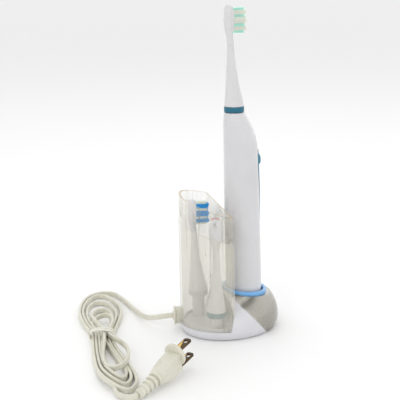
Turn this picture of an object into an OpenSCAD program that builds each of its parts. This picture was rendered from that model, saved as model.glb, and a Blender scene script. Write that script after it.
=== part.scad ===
// Electric toothbrush standing in its charger, with a clear holder for spare brush heads.
// +X is the front (bristle and button side), -X the back (holder and cord), +Z is up.
// The origin is the middle of the charger's footprint, on the surface it stands on.

/* [Charger base] */
// Length of the charger, front to back
base_l = 85; // [80:1:104]
// Width of the charger, side to side
base_w = 69; // [66:1:84]
// Height of the widest line of the charger
rim_z = 9; // [8:0.5:12]
// How far the charger tucks in under its widest line
base_tuck = 3.8; // [2:0.2:5]
// Wall of the charger's shell
base_wall = 2.4; // [1.8:0.1:3]
// Height of the deck that the spare heads stand on
deck_z = 8; // [7:0.5:10]
// Distance from the middle of the charger to the handle's axis
handle_x = 13.5; // [12:0.5:17]
// Height of the socket ring's seat at the handle's axis
socket_z = 31.6; // [29:0.2:38]
// Forward slope of the socket ring
socket_tilt = 6; // [0:1:8]
// Width of the blue socket ring
ring_w = 2.8; // [2:0.1:4]
// Height of the blue socket ring
ring_h = 2.8; // [2:0.1:4]
// Radius of the charging post
post_r = 4.4; // [3.6:0.1:5.2]
// Height of the rubber feet under the shell
foot_h = 0.8; // [0.5:0.1:1.5]

/* [Handle] */
// Radius of the handle at its foot
handle_r = 15; // [12.5:0.1:18]
// Length of the handle, foot to collar
handle_l = 161.1; // [134:0.1:194]
// Wall of the handle's shell
handle_wall = 2.2; // [1.6:0.1:2.6]
// How far the neck's axis lies behind the handle's axis
neck_back = 7.4; // [5.5:0.1:8]
// Height of the button's middle below the top of the handle
button_down = 43; // [36:1:50]
// Width of the power button
button_w = 9; // [7:0.5:11]
// Height of the power button
button_h = 16; // [12:0.5:19]
// Travel of the power button
button_travel = 0.8; // [0.4:0.1:1.2]

/* [Brush heads] */
// Length of a brush head, ring to tip
head_l = 83; // [70:1:100]
// Radius of the colour ring
colour_ring_r = 8.1; // [7.6:0.1:8.6]
// Height of the colour ring
colour_ring_h = 4.4; // [3:0.2:6]
// Radius of the drive shaft
shaft_r = 1.6; // [1.3:0.1:1.8]
// Length of the drive shaft above the handle
shaft_up = 16; // [12:1:20]
// Width of the bristle field
field_w = 8.4; // [7:0.2:9.5]
// Length of the bristles
bristle_l = 10; // [8:0.5:12]

/* [Spare head holder] */
// Height of the holder's rim at its front corners
holder_front_z = 103.6; // [96:0.2:124]
// How much higher the rim stands at the back
holder_rise = 14.4; // [0:0.2:16]
// How far the rim's slope is turned towards one side
rim_turn = 20; // [0:1:25]
// Wall of the clear holder
holder_wall = 1.8; // [1.2:0.1:2.4]
// Depth of the thinner lip below the rim
lip_depth = 22; // [12:1:28]
// How much the lip steps in
lip_step = 0.7; // [0.3:0.1:0.9]
// Gap from the handle's foot to the holder's flat front wall
holder_gap = 5.2; // [2.4:0.1:7]
// Height of the storage pegs
peg_h = 12; // [8:0.5:13]
// Radius of the storage pegs
peg_r = 3; // [2.4:0.1:3.2]

/* [Cord and plug] */
// Width of the flat two-wire cord
cord_w = 4.6; // [4:0.1:5.4]
// Height of the cord's middle where it leaves the gland
cord_exit_z = 12; // [11:0.5:13]
// Spacing of the plug's blades
blade_gap = 12.7; // [12:0.1:13.4]
// Width of a blade
blade_w = 6.35; // [6:0.05:6.6]
// Length of a blade
blade_l = 17; // [14:0.5:18]

/* [Fits] */
// Gap round the handle in its socket
socket_gap = 1.2; // [0.8:0.1:1.6]
// Gap between pieces that slide past each other
slide_gap = 0.35; // [0.3:0.05:0.6]
// Gap round a turning shaft
run_gap = 0.06; // [0.03:0.01:0.1]
// Gap between a spare head's bore and its peg
peg_gap = 0.35; // [0.3:0.05:0.6]

/* [Hidden] */
$fn = 64;
eps = 0.01;
big = 200;

// Derived sizes of the charger
socket_r = handle_r + socket_gap;
ring_r = socket_r + ring_w;
handle_z = 20.5;
cup_wall = 1.8;
cup_floor_z = handle_z - 1.6;
dome_z = socket_z + 2;
floor_t = 2;
post_z = handle_z + 8;
split_z = 28;
split_slope = 1.12;

// Derived sizes of the handle
handle_top = handle_z + handle_l;
neck_x = handle_x - neck_back;
cap_h = 4.5;
button_z = handle_top - button_down;
motor_r = 5.9;
motor_z = handle_top - 57;
motor_l = 28;
battery_r = 7.1;
battery_l = 50.5;
battery_z = handle_z + 20;
board_x = handle_x + 3.4;
board_t = 1.2;

// Derived sizes of the holder
holder_x = handle_x - handle_r - holder_gap;
holder_a = base_l/2 - 1.2;
holder_b = base_w/2 - 1.2;
holder_foot_z = deck_z + 0.25;
cut_top_z = 21;
cut_back = 3.4;
drum_r = ring_r + 3.2;
head_foot_z = 18;
spare_a_side_gap = 2.6;
spare_b_back = 13.5;
spare_b_side_gap = 3.6;
spare_b_lift = 8.5;
spare_a_x = holder_x - holder_wall - 0.4 - colour_ring_r;
spare_a = [spare_a_x, -(holder_half(spare_a_x) - holder_wall - colour_ring_r - spare_a_side_gap)];
spare_b_x = holder_x - holder_wall - spare_b_back;
spare_b = [spare_b_x, holder_half(spare_b_x) - holder_wall - colour_ring_r - spare_b_side_gap];
spare_a_turn = 72;
spare_b_turn = -10;

// Gland and the cord's route
gland_turn = 167;
holder_reach = 1/sqrt(pow(cos(gland_turn)/holder_a, 2) + pow(sin(gland_turn)/holder_b, 2));
gland_in = holder_reach - 2.15;
gland_out = holder_reach + 5.65;
gland_w = 9;
gland_h = 12;
lead_points = [[-45, 10.4, 12], [-50, 11.6, 11.8], [-55, 13.2, 11.2], [-60, 17.5, 9.4], [-63.5, 26, 6.6],
    [-65.5, 38, 4], [-67, 52, 2.8], [-69, 67, 2.4], [-71, 81, 2.4], [-73.5, 94, 2.4], [-77, 102, 2.6]];
tail_points = [[-118, -86, 3], [-118, -93, 2.6], [-115.5, -99, 2.6], [-110.5, -102.8, 3], [-105, -102.6, 4]];
hank_top = 9.4;
tie_at = [-107.5, 6];
tie_turn = 90;
plug_at = [-105, -102.6, 4];
plug_turn = 36;
plug_tilt = 12.6;
relief_l = 22;
plug_l = 46;
flange_t = 3;
flange_l = 27;
flange_w = 17;

// Half width of the holder's outside at x
function holder_half(x) = holder_b*sqrt(max(0, 1 - pow(x/holder_a, 2)));

// Share of the way from the base's outline to the socket ring at height z
function dome_blend(z) = pow(max(0, (z - rim_z)/(dome_z - rim_z)), 2.2);

// How far the outline tucks in below the widest line at height z
function tuck(z) = base_tuck*pow(max(0, (rim_z - z)/rim_z), 2);

// One section of the charger's outer form, drawn in by inset: [z, centre, half length, half width]
function base_section(z, inset) = let (k = dome_blend(z), edge = inset + tuck(z))
    [z, handle_x*k, base_l/2*(1 - k) + ring_r*k - edge, base_w/2*(1 - k) + ring_r*k - edge];

// Sections of the handle: [z, centre, radius], drawn in by inset
function handle_sections(inset) = [for (s = [
    [handle_z, 0, handle_r - 1.6], [handle_z + 1.5, 0, handle_r - 0.5], [handle_z + cap_h, 0, handle_r],
    [handle_z + 20, 0, handle_r], [handle_z + 46, -0.5, handle_r - 0.15], [handle_top - 81, -1.15, handle_r - 0.35],
    [handle_top - 56, -1.45, handle_r - 0.65], [handle_top - 33, -1.9, handle_r - 1],
    [handle_top - 24, -2.3, handle_r - 1.3], [handle_top - 17.5, -3.3, handle_r - 2.3],
    [handle_top - 10, neck_back*-0.66, handle_r - 3.7], [handle_top - 4.6, neck_back*-0.86, handle_r - 5.4],
    [handle_top, -neck_back, colour_ring_r + 0.2]])
    [s[0], handle_x + s[1], s[2] - inset, s[2] - inset]];

// Sections of a brush head above its ring: [height, centre, half depth, half width]
function head_sections() = [
    [colour_ring_h, 0, colour_ring_r, colour_ring_r], [10, -0.3, 7.2, 7], [17, -0.9, 6, 5.8], [25, -1.5, 5, 4.7],
    [35, -2.1, 3.9, 3.8], [46, -2.5, 3, 3], [head_l - 27, -2.8, 2.6, 2.6], [head_l - 23, -3.4, 2.7, 3],
    [head_l - 20, -4.1, 2.8, 4], [head_l - 17, -4.4, 3.1, 5], [head_l - 13.5, -4.4, 3.2, 5.6],
    [head_l - 9.5, -4.4, 3.2, 5.8], [head_l - 5.5, -4.4, 3.2, 5.4], [head_l - 2.6, -4.4, 3.1, 4.4],
    [head_l - 0.9, -4.4, 2.8, 3], [head_l, -4.4, 2, 1.4]];

// A closed skin through elliptical sections [z, centre, half length, half width]
module loft(sections, n) {
    m = len(sections);
    points = [for (s = sections, j = [0:n - 1]) [s[1] + s[2]*cos(360*j/n), s[3]*sin(360*j/n), s[0]]];
    sides = [for (i = [0:m - 2], j = [0:n - 1]) let (a = i*n + j, b = i*n + (j + 1)%n)
        each [[a, a + n, b + n], [a, b + n, b]]];
    lid = [for (j = [n - 1:-1:0]) (m - 1)*n + j];
    polyhedron(points, concat(sides, [[for (j = [0:n - 1]) j], lid]), convexity = 6);
}

// A round tube along a route, with its section square to the route at each point
module cord_tube(route, r, sides) {
    m = len(route);
    points = [for (i = [0:m - 1]) let (
        ahead = route[min(i + 1, m - 1)] - route[max(i - 1, 0)],
        along = ahead/norm(ahead),
        flat = cross([0, 0, 1], along),
        side = flat/norm(flat),
        up = cross(along, side))
        for (j = [0:sides - 1]) route[i] + r*(cos(360*j/sides)*side + sin(360*j/sides)*up)];
    walls = [for (i = [0:m - 2], j = [0:sides - 1]) let (a = i*sides + j, b = i*sides + (j + 1)%sides)
        each [[a, a + sides, b + sides], [a, b + sides, b]]];
    lid = [for (j = [sides - 1:-1:0]) (m - 1)*sides + j];
    polyhedron(points, concat(walls, [[for (j = [0:sides - 1]) j], lid]), convexity = 8);
}

// A smooth route through the chosen points, with steps spans between each pair
function smooth(p, steps) = let (m = len(p)) concat(
    [for (i = [0:m - 2], k = [0:steps - 1]) let (
        t = k/steps,
        a = p[max(i - 1, 0)],
        b = p[i],
        c = p[i + 1],
        d = p[min(i + 2, m - 1)])
        0.5*(2*b + (c - a)*t + (2*a - 5*b + 4*c - d)*t*t + (3*b - a - 3*c + d)*t*t*t)],
    [p[m - 1]]);

// A ring cut from a round bar
module tube(outer, inner, h) {
    difference() {
        cylinder(r = outer, h = h);
        translate([0, 0, -eps]) cylinder(r = inner, h = h + 2*eps);
    }
}

// A flat shape with round ends, along Y
module slot_shape(w, h) {
    square([w, h - w], center = true);
    for (s = [-1, 1]) translate([0, s*(h - w)/2]) circle(d = w);
}

// Everything that the holder needs cleared from the back of the charger, grown by gap
module holder_room(gap) {
    difference() {
        rotate([90, 0, 0]) linear_extrude(big, center = true) polygon([
            [-big, deck_z], [holder_x - cut_back + gap, deck_z], [holder_x + gap, cut_top_z],
            [holder_x + gap, big], [-big, big]]);
        translate([handle_x, 0, 0]) cylinder(r = drum_r - gap, h = big);
    }
}

// The slope that parts the silver cover from the white shell; side 1 is all above it, -1 all below
module split_room(side, lift) {
    z_at = split_z + lift;
    rotate([90, 0, 0]) linear_extrude(big, center = true)
        polygon(side > 0
            ? [[-60, z_at + 60*split_slope], [80, z_at - 80*split_slope], [80, big], [-60, big]]
            : [[-60, z_at + 60*split_slope], [80, z_at - 80*split_slope], [-60, z_at - 80*split_slope]]);
}

// The charger's outer form
module base_form(inset) {
    top = [for (i = [0:9]) rim_z + (dome_z - rim_z)*i/9];
    foot = [foot_h, foot_h + 1.6, foot_h + 4];
    loft([for (z = concat(foot, top)) base_section(z, inset)], 64);
}

// The room inside the charger
module base_hollow() {
    difference() {
        base_form(base_wall);
        difference() {
            rotate([90, 0, 0]) linear_extrude(big, center = true) polygon([
                [-big, deck_z - base_wall], [holder_x - cut_back + base_wall, deck_z - base_wall],
                [holder_x + base_wall, cut_top_z - 1], [holder_x + base_wall, big], [-big, big]]);
            translate([handle_x, 0, 0]) cylinder(r = drum_r - base_wall, h = big);
        }
        translate([handle_x, 0, 0]) tilted_top(-base_wall);
    }
    translate([0, 0, -1]) linear_extrude(floor_z() + 1 + eps) base_outline(base_wall);
}

// Height of the top of the bottom plate
function floor_z() = foot_h + 0.4 + floor_t;

// The charger's outline at the bottom plate, drawn in by inset
module base_outline(inset) {
    s = base_section(foot_h + 0.4, inset);
    polygon([for (i = [0:63]) [s[1] + s[2]*cos(360*i/64), s[3]*sin(360*i/64)]]);
}

// All that lies above the sloping seat of the socket ring, raised by up
module tilted_top(up) {
    translate([0, 0, socket_z + up]) rotate([0, socket_tilt, 0]) translate([-60, -60, 0]) cube([120, 120, 60]);
}

module base_shell() {
    color("white") difference() {
        base_form(0);
        holder_room(0);
        base_hollow();
        split_room(1, 0);
        translate([handle_x, 0, 0]) tilted_top(0);
        translate([handle_x, 0, deck_z + 4]) cylinder(r = socket_r + cup_wall + eps, h = big);
        gland_room(0);
    }
    color("white") holder_ledge();
    color("white") screw_bosses();
}

// Bosses under the shell that the bottom plate's screws bite into
module screw_bosses() {
    difference() {
        intersection() {
            for (p = screw_places()) translate([p[0], p[1], floor_z()]) cylinder(r = 3, h = 30);
            base_form(base_wall/2);
            difference() {
                cube(big, center = true);
                holder_room(-0.5);
                split_room(1, -0.4);
            }
        }
        for (p = screw_places()) translate([p[0], p[1], 0]) cylinder(r = 1.45, h = deck_z - base_wall + 0.2);
        translate([handle_x, 0, 0]) cylinder(r = socket_r + cup_wall + 1, h = big);
    }
}

// A low ledge on the deck that the holder's curved wall fits round
module holder_ledge() {
    inset = holder_wall + slide_gap;
    difference() {
        translate([0, 0, deck_z - eps]) linear_extrude(2) difference() {
            holder_plan(inset);
            holder_plan(inset + 1.4);
            translate([holder_x - cut_back - 5, -big/2]) square([big, big]);
        }
        translate([handle_x, 0, 0]) cylinder(r = drum_r, h = big);
        gland_room(0.4);
    }
}

module dome_cover() {
    color([0.72, 0.7, 0.66]) difference() {
        base_form(0);
        base_hollow();
        holder_room(0);
        split_room(-1, 0.05);
        translate([handle_x, 0, 0]) tilted_top(0);
        translate([handle_x, 0, deck_z + 4]) cylinder(r = socket_r + cup_wall + eps, h = big);
    }
}

module socket_ring() {
    round_r = 0.8;
    color([0.4, 0.68, 0.9]) translate([handle_x, 0, socket_z]) rotate([0, socket_tilt, 0])
        rotate_extrude() translate([socket_r, 0]) {
            square([ring_w, ring_h - round_r]);
            translate([round_r, 0]) square([ring_w - 2*round_r, ring_h]);
            for (x = [round_r, ring_w - round_r]) translate([x, ring_h - round_r]) circle(r = round_r);
        }
}

module socket_cup() {
    drop = ring_r*sin(socket_tilt) + 0.3;
    color("gainsboro") translate([handle_x, 0, 0]) difference() {
        translate([0, 0, cup_floor_z - 1.4]) cylinder(r = socket_r + cup_wall - 0.1, h = socket_z - drop - cup_floor_z + 1.4);
        translate([0, 0, cup_floor_z]) cylinder(r = socket_r, h = big);
        translate([0, 0, cup_floor_z - 2]) cylinder(r = post_r - 1.4, h = 4);
    }
}

module charging_post() {
    color("white") translate([handle_x, 0, cup_floor_z]) difference() {
        cylinder(r = post_r, h = post_z - cup_floor_z);
        translate([0, 0, -eps]) cylinder(r = post_r - 1.2, h = post_z - cup_floor_z - 1.2);
    }
}

module post_core() {
    color("dimgray") translate([handle_x, 0, floor_z() + 5]) cylinder(r = post_r - 1.5, h = post_z - floor_z() - 6.6);
}

module primary_coil() {
    color("orangered") translate([handle_x, 0, floor_z() + 6]) tube(post_r + 4, post_r - 1.3, 7);
}

module charger_board() {
    hole_r = post_r - 1.3;
    color("green") difference() {
        translate([handle_x - 13, -12, floor_z() + 3.6]) cube([26, 24, 1.6]);
        translate([handle_x, 0, 0]) cylinder(r = hole_r, h = 20);
    }
    color("black") for (s = [-1, 1])
        translate([handle_x - 12, s*9.2 - 2.4, floor_z() + 5.2]) cube([6, 4.8, 3]);
}

module base_floor() {
    color("whitesmoke") difference() {
        translate([0, 0, foot_h + 0.4]) linear_extrude(floor_t) base_outline(base_wall + 0.15);
        for (p = screw_places()) translate([p[0], p[1], -1]) cylinder(r = 1.7, h = 10);
        for (p = foot_places()) translate([p[0], p[1], -1]) cylinder(r = 4.1, h = foot_h + 2);
    }
    color("whitesmoke") for (x = [-9, 9], y = [-8, 8])
        translate([handle_x + x, y, floor_z() - eps]) cylinder(r = 1.8, h = 3.6);
}

// Places of the screws that hold the bottom plate
function screw_places() = [[13.5 - base_l/2, 0], [1, base_w/2 - 8.7], [1, 8.7 - base_w/2]];

// Places of the rubber feet
function foot_places() = [for (x = [-1, 1], y = [-1, 1]) [x*(base_l/2 - 24.2) + 1, y*(base_w/2 - 16.5)]];

module base_screws() {
    color("silver") for (p = screw_places()) translate([p[0], p[1], 0]) {
        translate([0, 0, foot_h - 0.1]) cylinder(r = 2.6, h = 0.5 - eps);
        translate([0, 0, foot_h + 0.3]) cylinder(r = 1.4, h = deck_z - base_wall - foot_h - 0.5);
    }
}

module rubber_feet() {
    color("dimgray") for (p = foot_places()) translate([p[0], p[1], 0]) cylinder(r = 4, h = foot_h + 1);
}

// A storage peg: a round boss with a ribbed post on it, standing on the deck at z
module peg(seat) {
    translate([0, 0, deck_z - eps]) cylinder(r = peg_r + 2.2, h = seat - deck_z + eps);
    translate([0, 0, seat]) {
        cylinder(r = peg_r - 1.3, h = peg_h);
        intersection() {
            cylinder(r = peg_r, h = peg_h - 1);
            for (a = [0, 90]) rotate([0, 0, a]) translate([-peg_r, -0.6, 0]) cube([2*peg_r, 1.2, peg_h]);
        }
    }
}

module head_pegs() {
    color("white") translate([spare_a[0], spare_a[1], 0]) peg(head_foot_z - 0.4);
    color("white") translate([spare_b[0], spare_b[1], 0]) peg(head_foot_z + spare_b_lift - 0.4);
}

// The gland's block, grown by gap
module gland_block(gap, h) {
    w = gland_w + 2*gap;
    rotate([0, 0, gland_turn]) translate([gland_in, -w/2, 0]) cube([gland_out - gland_in - 1.5, w, h]);
}

// Room for the gland through the shell's wall and the holder
module gland_room(gap) {
    translate([0, 0, cord_exit_z - gland_h/2 - gap]) gland_block(gap, gland_h + 2*gap);
}

module cord_gland() {
    lip_w = gland_w + 1.6;
    color([0.9, 0.89, 0.83]) {
        translate([0, 0, cord_exit_z - gland_h/2]) gland_block(0, gland_h);
        rotate([0, 0, gland_turn]) translate([gland_out - 1.5, -lip_w/2, cord_exit_z - gland_h/2 - 0.6])
            cube([1.5, lip_w, gland_h + 1.2]);
    }
}

module cord_lead() {
    color([0.9, 0.89, 0.83]) difference() {
        cord_tube(smooth(lead_points, 4), cord_w/2, 8);
        gland_room(0);
        rotate([0, 0, gland_turn]) translate([gland_out - 12, -gland_w, 0]) cube([12, 2*gland_w, 40]);
        hank_block();
    }
}

// The hank as one block: two lobes drawn in where the tie holds them
module hank_block() {
    waist = [tie_at[0], tie_at[1]];
    linear_extrude(hank_top) {
        hull() {
            translate([-90, 98]) circle(r = 13, $fn = 32);
            translate([-104, 78]) circle(r = 12, $fn = 32);
            translate([-94, 66]) circle(r = 13, $fn = 32);
            translate(waist) circle(r = 9.4, $fn = 32);
        }
        hull() {
            translate(waist) circle(r = 9.4, $fn = 32);
            translate([-110, -30]) circle(r = 14, $fn = 32);
            translate([-112, -76]) circle(r = 12, $fn = 32);
        }
    }
}

module cord_hank() {
    color([0.88, 0.87, 0.81]) difference() {
        hank_block();
        translate([tie_at[0], tie_at[1], 0]) tie_room(0);
    }
}

// The space of the tie's band: from the floor side up and over the hank
module tie_room(grow) {
    translate([-12, -3.2, hank_top - 1.2]) cube([24, 6.4, 4 + grow]);
}

module cord_tie() {
    color([0.9, 0.88, 0.8]) translate([tie_at[0], tie_at[1], 0]) intersection() {
        translate([-9.6, -3, hank_top - 1.2]) cube([19.2, 6, 2.6]);
        translate([0, 0, hank_top - 24]) rotate([90, 0, 0]) cylinder(r = 25.3, h = 12, center = true);
    }
}

module cord_tail() {
    color([0.9, 0.89, 0.83]) difference() {
        cord_tube(smooth(tail_points, 4), cord_w/2, 8);
        hank_block();
        at_plug() translate([0, -20, -20]) cube([40, 40, 40]);
    }
}

// Places what follows at the plug's cord end, along the plug's own axis
module at_plug() {
    translate(plug_at) rotate([0, 0, plug_turn]) rotate([0, -plug_tilt, 0]) children();
}

module plug_body() {
    color([0.89, 0.88, 0.82]) at_plug() {
        // Ribbed strain relief, thicker towards the plug
        rotate([0, 90, 0]) cylinder(r = 3.2, h = relief_l + 2);
        for (i = [0:4]) translate([1 + i*4.4, 0, 0]) rotate([0, 90, 0]) cylinder(r = 3.8 + 0.45*i, h = 2.6);
        hull() {
            translate([relief_l, -5.4, -5.6]) cube([2, 10.8, 11.2]);
            translate([relief_l + 9, -6.6, -8.6]) cube([2, 13.2, 17.2]);
            translate([plug_l - flange_t, -7, -9.6]) cube([flange_t - eps, 14, 19.2]);
        }
        translate([plug_l - flange_t, 0, 0]) rotate([90, 0, 90]) linear_extrude(flange_t)
            slot_shape(flange_w, flange_l);
    }
}

module plug_blades() {
    hole_r = 1.6;
    color([0.55, 0.42, 0.25]) at_plug() for (s = [-1, 1]) translate([plug_l, 0, s*blade_gap/2]) difference() {
        union() {
            translate([0, -blade_w/2, -0.75]) cube([blade_l - 1.6, blade_w, 1.5]);
            translate([0, 1.6 - blade_w/2, -0.75]) cube([blade_l, blade_w - 3.2, 1.5]);
        }
        translate([blade_l - 4.2, 0, -2]) cylinder(r = hole_r, h = 4);
    }
}

// Plan of the holder, drawn in by inset: a leaf with a flat front
module holder_plan(inset) {
    intersection() {
        polygon([for (i = [0:79]) [(holder_a - inset)*cos(4.5*i), (holder_b - inset)*sin(4.5*i)]]);
        translate([holder_x - inset - big, -big/2]) square([big, big]);
    }
}

// Above the holder's curved rim, lowered by down; its slope runs down to the near front corner
module rim_room(down) {
    front = holder_x*cos(rim_turn) + holder_half(holder_x)*sin(rim_turn);
    back = -sqrt(pow(holder_a*cos(rim_turn), 2) + pow(holder_b*sin(rim_turn), 2));
    run = front - back;
    sag = 1;
    chord = sqrt(run*run + holder_rise*holder_rise);
    r = (chord*chord/4 + sag*sag)/(2*sag);
    mid = [(front + back)/2, holder_front_z + holder_rise/2 - down];
    normal = [holder_rise/chord, run/chord];
    centre = mid + (r - sag)*normal;
    rotate([0, 0, -rim_turn]) translate([centre[0], 0, centre[1]]) rotate([90, 0, 0])
        cylinder(r = r, h = big, center = true, $fn = 128);
    translate([-big, -big/2, holder_front_z + holder_rise + 20 - down]) cube([2*big, big, big]);
}

module holder_cover() {
    tall = holder_front_z + holder_rise + 15;
    color([0.86, 0.86, 0.8, 0.5]) difference() {
        union() {
            translate([0, 0, holder_foot_z]) linear_extrude(tall - holder_foot_z) holder_plan(lip_step);
            difference() {
                translate([0, 0, holder_foot_z]) linear_extrude(tall - holder_foot_z) holder_plan(0);
                rim_room(lip_depth);
            }
        }
        translate([0, 0, holder_foot_z - 1]) linear_extrude(tall) holder_plan(holder_wall);
        rim_room(0);
        // Cut back at the two lower front corners, and clear of the dome behind the socket
        rotate([90, 0, 0]) linear_extrude(big, center = true) polygon([
            [holder_x - cut_back - 0.6, -1], [holder_x - cut_back - 0.6, deck_z - 0.1],
            [holder_x - 0.3, cut_top_z + 0.5], [big, cut_top_z + 0.5], [big, -1]]);
        translate([handle_x, 0, 0]) cylinder(r = drum_r + 1, h = socket_z + ring_h + 3.4);
        gland_room(0.8);
    }
}

module handle_form(inset, from_z) {
    body = [for (s = handle_sections(inset)) if (s[0] > from_z) s];
    foot = [from_z, body[0][1], handle_r - inset, handle_r - inset];
    loft(concat([foot], body), 48);
}

module handle_shell() {
    color("white") difference() {
        handle_form(0, handle_z + cap_h);
        difference() {
            translate([0, 0, -eps]) handle_form(handle_wall, handle_z + cap_h);
            translate([-big/2, -big/2, handle_top - 3]) cube(big);
        }
        translate([neck_x, 0, handle_top - 10]) cylinder(r = 4.6, h = 20);
        button_room(0.5);
    }
}

// A straight passage for the button through the front wall, grown by gap
module button_room(gap) {
    translate([handle_x + 5, 0, button_z]) rotate([90, 0, 90]) linear_extrude(20)
        slot_shape(button_w + 2*gap, button_h + 2*gap);
}

// Outline of the blue grip panel: round at the button, running out to a point below
module panel_outline() {
    crown = button_w/2 + 2.6;
    crown_y = button_h/2 - 2.4;
    right = concat(
        [for (a = [90:-10:0]) [crown*cos(a), crown_y + crown*sin(a)]],
        [[crown + 0.5, 0], [crown, -button_h/2], [crown - 2, -20], [crown - 3.9, -36], [1.9, -52], [0.8, -70]]);
    left = [for (i = [len(right) - 1:-1:1]) [-right[i][0], right[i][1]]];
    translate([0, button_z]) polygon(concat(right, left));
}

module grip_panel() {
    skin = 0.5;
    color([0.2, 0.55, 0.66]) difference() {
        intersection() {
            handle_form(-skin, handle_z + cap_h);
            translate([handle_x, 0, 0]) rotate([90, 0, 90]) linear_extrude(30) panel_outline();
        }
        handle_form(-0.02, handle_z + cap_h - 1);
        button_room(0.5);
    }
}

module end_cap() {
    s = handle_sections(0);
    color("whitesmoke") difference() {
        union() {
            loft([s[0], s[1], [handle_z + cap_h - 0.05, handle_x, handle_r, handle_r]], 64);
            translate([handle_x, 0, handle_z + cap_h - 1]) cylinder(r = handle_r - handle_wall - 0.1, h = 7);
        }
        translate([handle_x, 0, handle_z - 1]) cylinder(r = post_r + 0.7, h = post_z - handle_z + 1.6);
        translate([handle_x, 0, handle_z + cap_h + 2]) tube(big/2, handle_r - handle_wall - 1.1, 1.8);
        translate([handle_x, 0, post_z + 1.8]) cylinder(r = handle_r - handle_wall - 3, h = 10);
    }
}

module end_cap_seal() {
    color("black") translate([handle_x, 0, handle_z + cap_h + 2.1])
        tube(handle_r - handle_wall - 0.05, handle_r - handle_wall - 1.1, 1.6);
}

module charging_coil() {
    color("orangered") translate([handle_x, 0, post_z + 1.8]) tube(handle_r - handle_wall - 4, post_r - 1, 4);
}

// A half-round sled that carries the battery, the motor and the board
module chassis() {
    low = battery_z - 2.4;
    high = motor_z + motor_l - 2;
    color("lightgray") difference() {
        union() {
            translate([handle_x + 0.4, -8.4, low]) cube([2, 16.8, high - low]);
            translate([handle_x + 0.4, 0, low]) intersection() {
                cylinder(r = 8.6, h = 1.8);
                translate([-20, -10, 0]) cube([20 + 2, 20, 4]);
            }
            translate([handle_x + 0.4, 0, battery_z + battery_l + 0.6]) intersection() {
                cylinder(r = 8.6, h = 1.8);
                translate([-20, -10, 0]) cube([20 + 2, 20, 4]);
            }
            for (z = [motor_z + 3, motor_z + motor_l - 6])
                translate([neck_x - 1, -6.6, z]) cube([handle_x - neck_x + 2, 13.2, 1.8]);
        }
        translate([handle_x - 0.4, 0, battery_z - 0.1]) cylinder(r = battery_r + 0.15, h = battery_l + 0.2);
        translate([neck_x, 0, motor_z - 1]) cylinder(r = motor_r + 0.05, h = motor_l + 2);
    }
}

module battery_cell() {
    color("seagreen") translate([handle_x - 0.4, 0, battery_z + 0.5]) {
        cylinder(r = battery_r, h = battery_l - 2.2);
        cylinder(r = 2.7, h = battery_l - 1);
    }
}

module battery_contacts() {
    color("gold") {
        translate([handle_x - 4, -3, battery_z - 0.6]) cube([4, 6, 1.1]);
        translate([handle_x - 4, -3, battery_z + battery_l - 0.5]) cube([4, 6, 1.1]);
    }
}

module control_board() {
    color("darkgreen") translate([board_x, -6.5, button_z - 30]) cube([board_t, 13, 38]);
    color("black") {
        translate([board_x + board_t, -3, button_z - 24]) cube([1.4, 6, 7]);
        translate([board_x + board_t, -2, button_z - 12]) cube([1, 4, 3]);
    }
}

module button_switch() {
    color("dimgray") translate([board_x + board_t, -3, button_z - 3]) cube([2.4, 6, 6]);
    color("black") translate([board_x + board_t + 2.4, 0, button_z]) rotate([0, 90, 0]) cylinder(r = 1.5, h = 0.7);
}

module motor_case() {
    color("silver") translate([neck_x, 0, motor_z]) difference() {
        cylinder(r = motor_r, h = motor_l);
        translate([0, 0, 1]) cylinder(r = motor_r - 0.7, h = motor_l - 2);
        translate([0, 0, -eps]) cylinder(r = 3.1, h = motor_l + 1);
    }
}

module motor_coil() {
    color("orangered") translate([neck_x, 0, motor_z + 3]) tube(motor_r - 0.8, 4.3, motor_l - 6);
}

module motor_bearings() {
    color("gold") for (z = [motor_z, motor_z + motor_l - 2])
        translate([neck_x, 0, z]) tube(3.05, shaft_r + run_gap, 2);
}

module shaft_seal() {
    color("black") translate([neck_x, 0, handle_top - 4]) tube(3.35, shaft_r + run_gap, 2.4);
}

module neck_collar() {
    color("whitesmoke") translate([neck_x, 0, 0]) difference() {
        union() {
            translate([0, 0, handle_top - 5.5]) cylinder(r = 4.5, h = 5.5);
            translate([0, 0, handle_top - 6.5]) cylinder(r = 5.2, h = 1.6 + 0.8);
        }
        translate([0, 0, handle_top - 8]) cylinder(r = shaft_r + 0.5, h = 10);
        translate([0, 0, handle_top - 4.05]) cylinder(r = 3.4, h = 2.5);
    }
}

module power_button() {
    face_x = handle_x + handle_r - 1.3;
    back_x = board_x + board_t + 3.1 + button_travel + 0.3;
    color([0.25, 0.6, 0.72]) translate([back_x, 0, button_z]) rotate([90, 0, 90]) {
        linear_extrude(face_x - back_x - 0.5) slot_shape(button_w, button_h);
        linear_extrude(face_x - back_x) slot_shape(button_w - 1.2, button_h - 1.2);
    }
}

module drive_shaft() {
    color("silver") translate([neck_x, 0, motor_z - 1.5]) cylinder(r = shaft_r, h = handle_top + shaft_up - motor_z + 1.5);
}

module rotor_magnet() {
    color("dimgray") translate([neck_x, 0, motor_z + 3.5]) tube(3.8, shaft_r, motor_l - 7);
}

// A brush head's stem, foot at z = 0, on the neck's axis, bristle side +X
module stem(bore_r, bore_l) {
    difference() {
        union() {
            cylinder(r = colour_ring_r - 1.3, h = colour_ring_h + 0.5);
            loft(head_sections(), 40);
        }
        translate([0, 0, -eps]) cylinder(r = bore_r, h = bore_l);
    }
}

module colour_ring() {
    tube(colour_ring_r, colour_ring_r - 1.3, colour_ring_h - 0.05);
}

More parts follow.
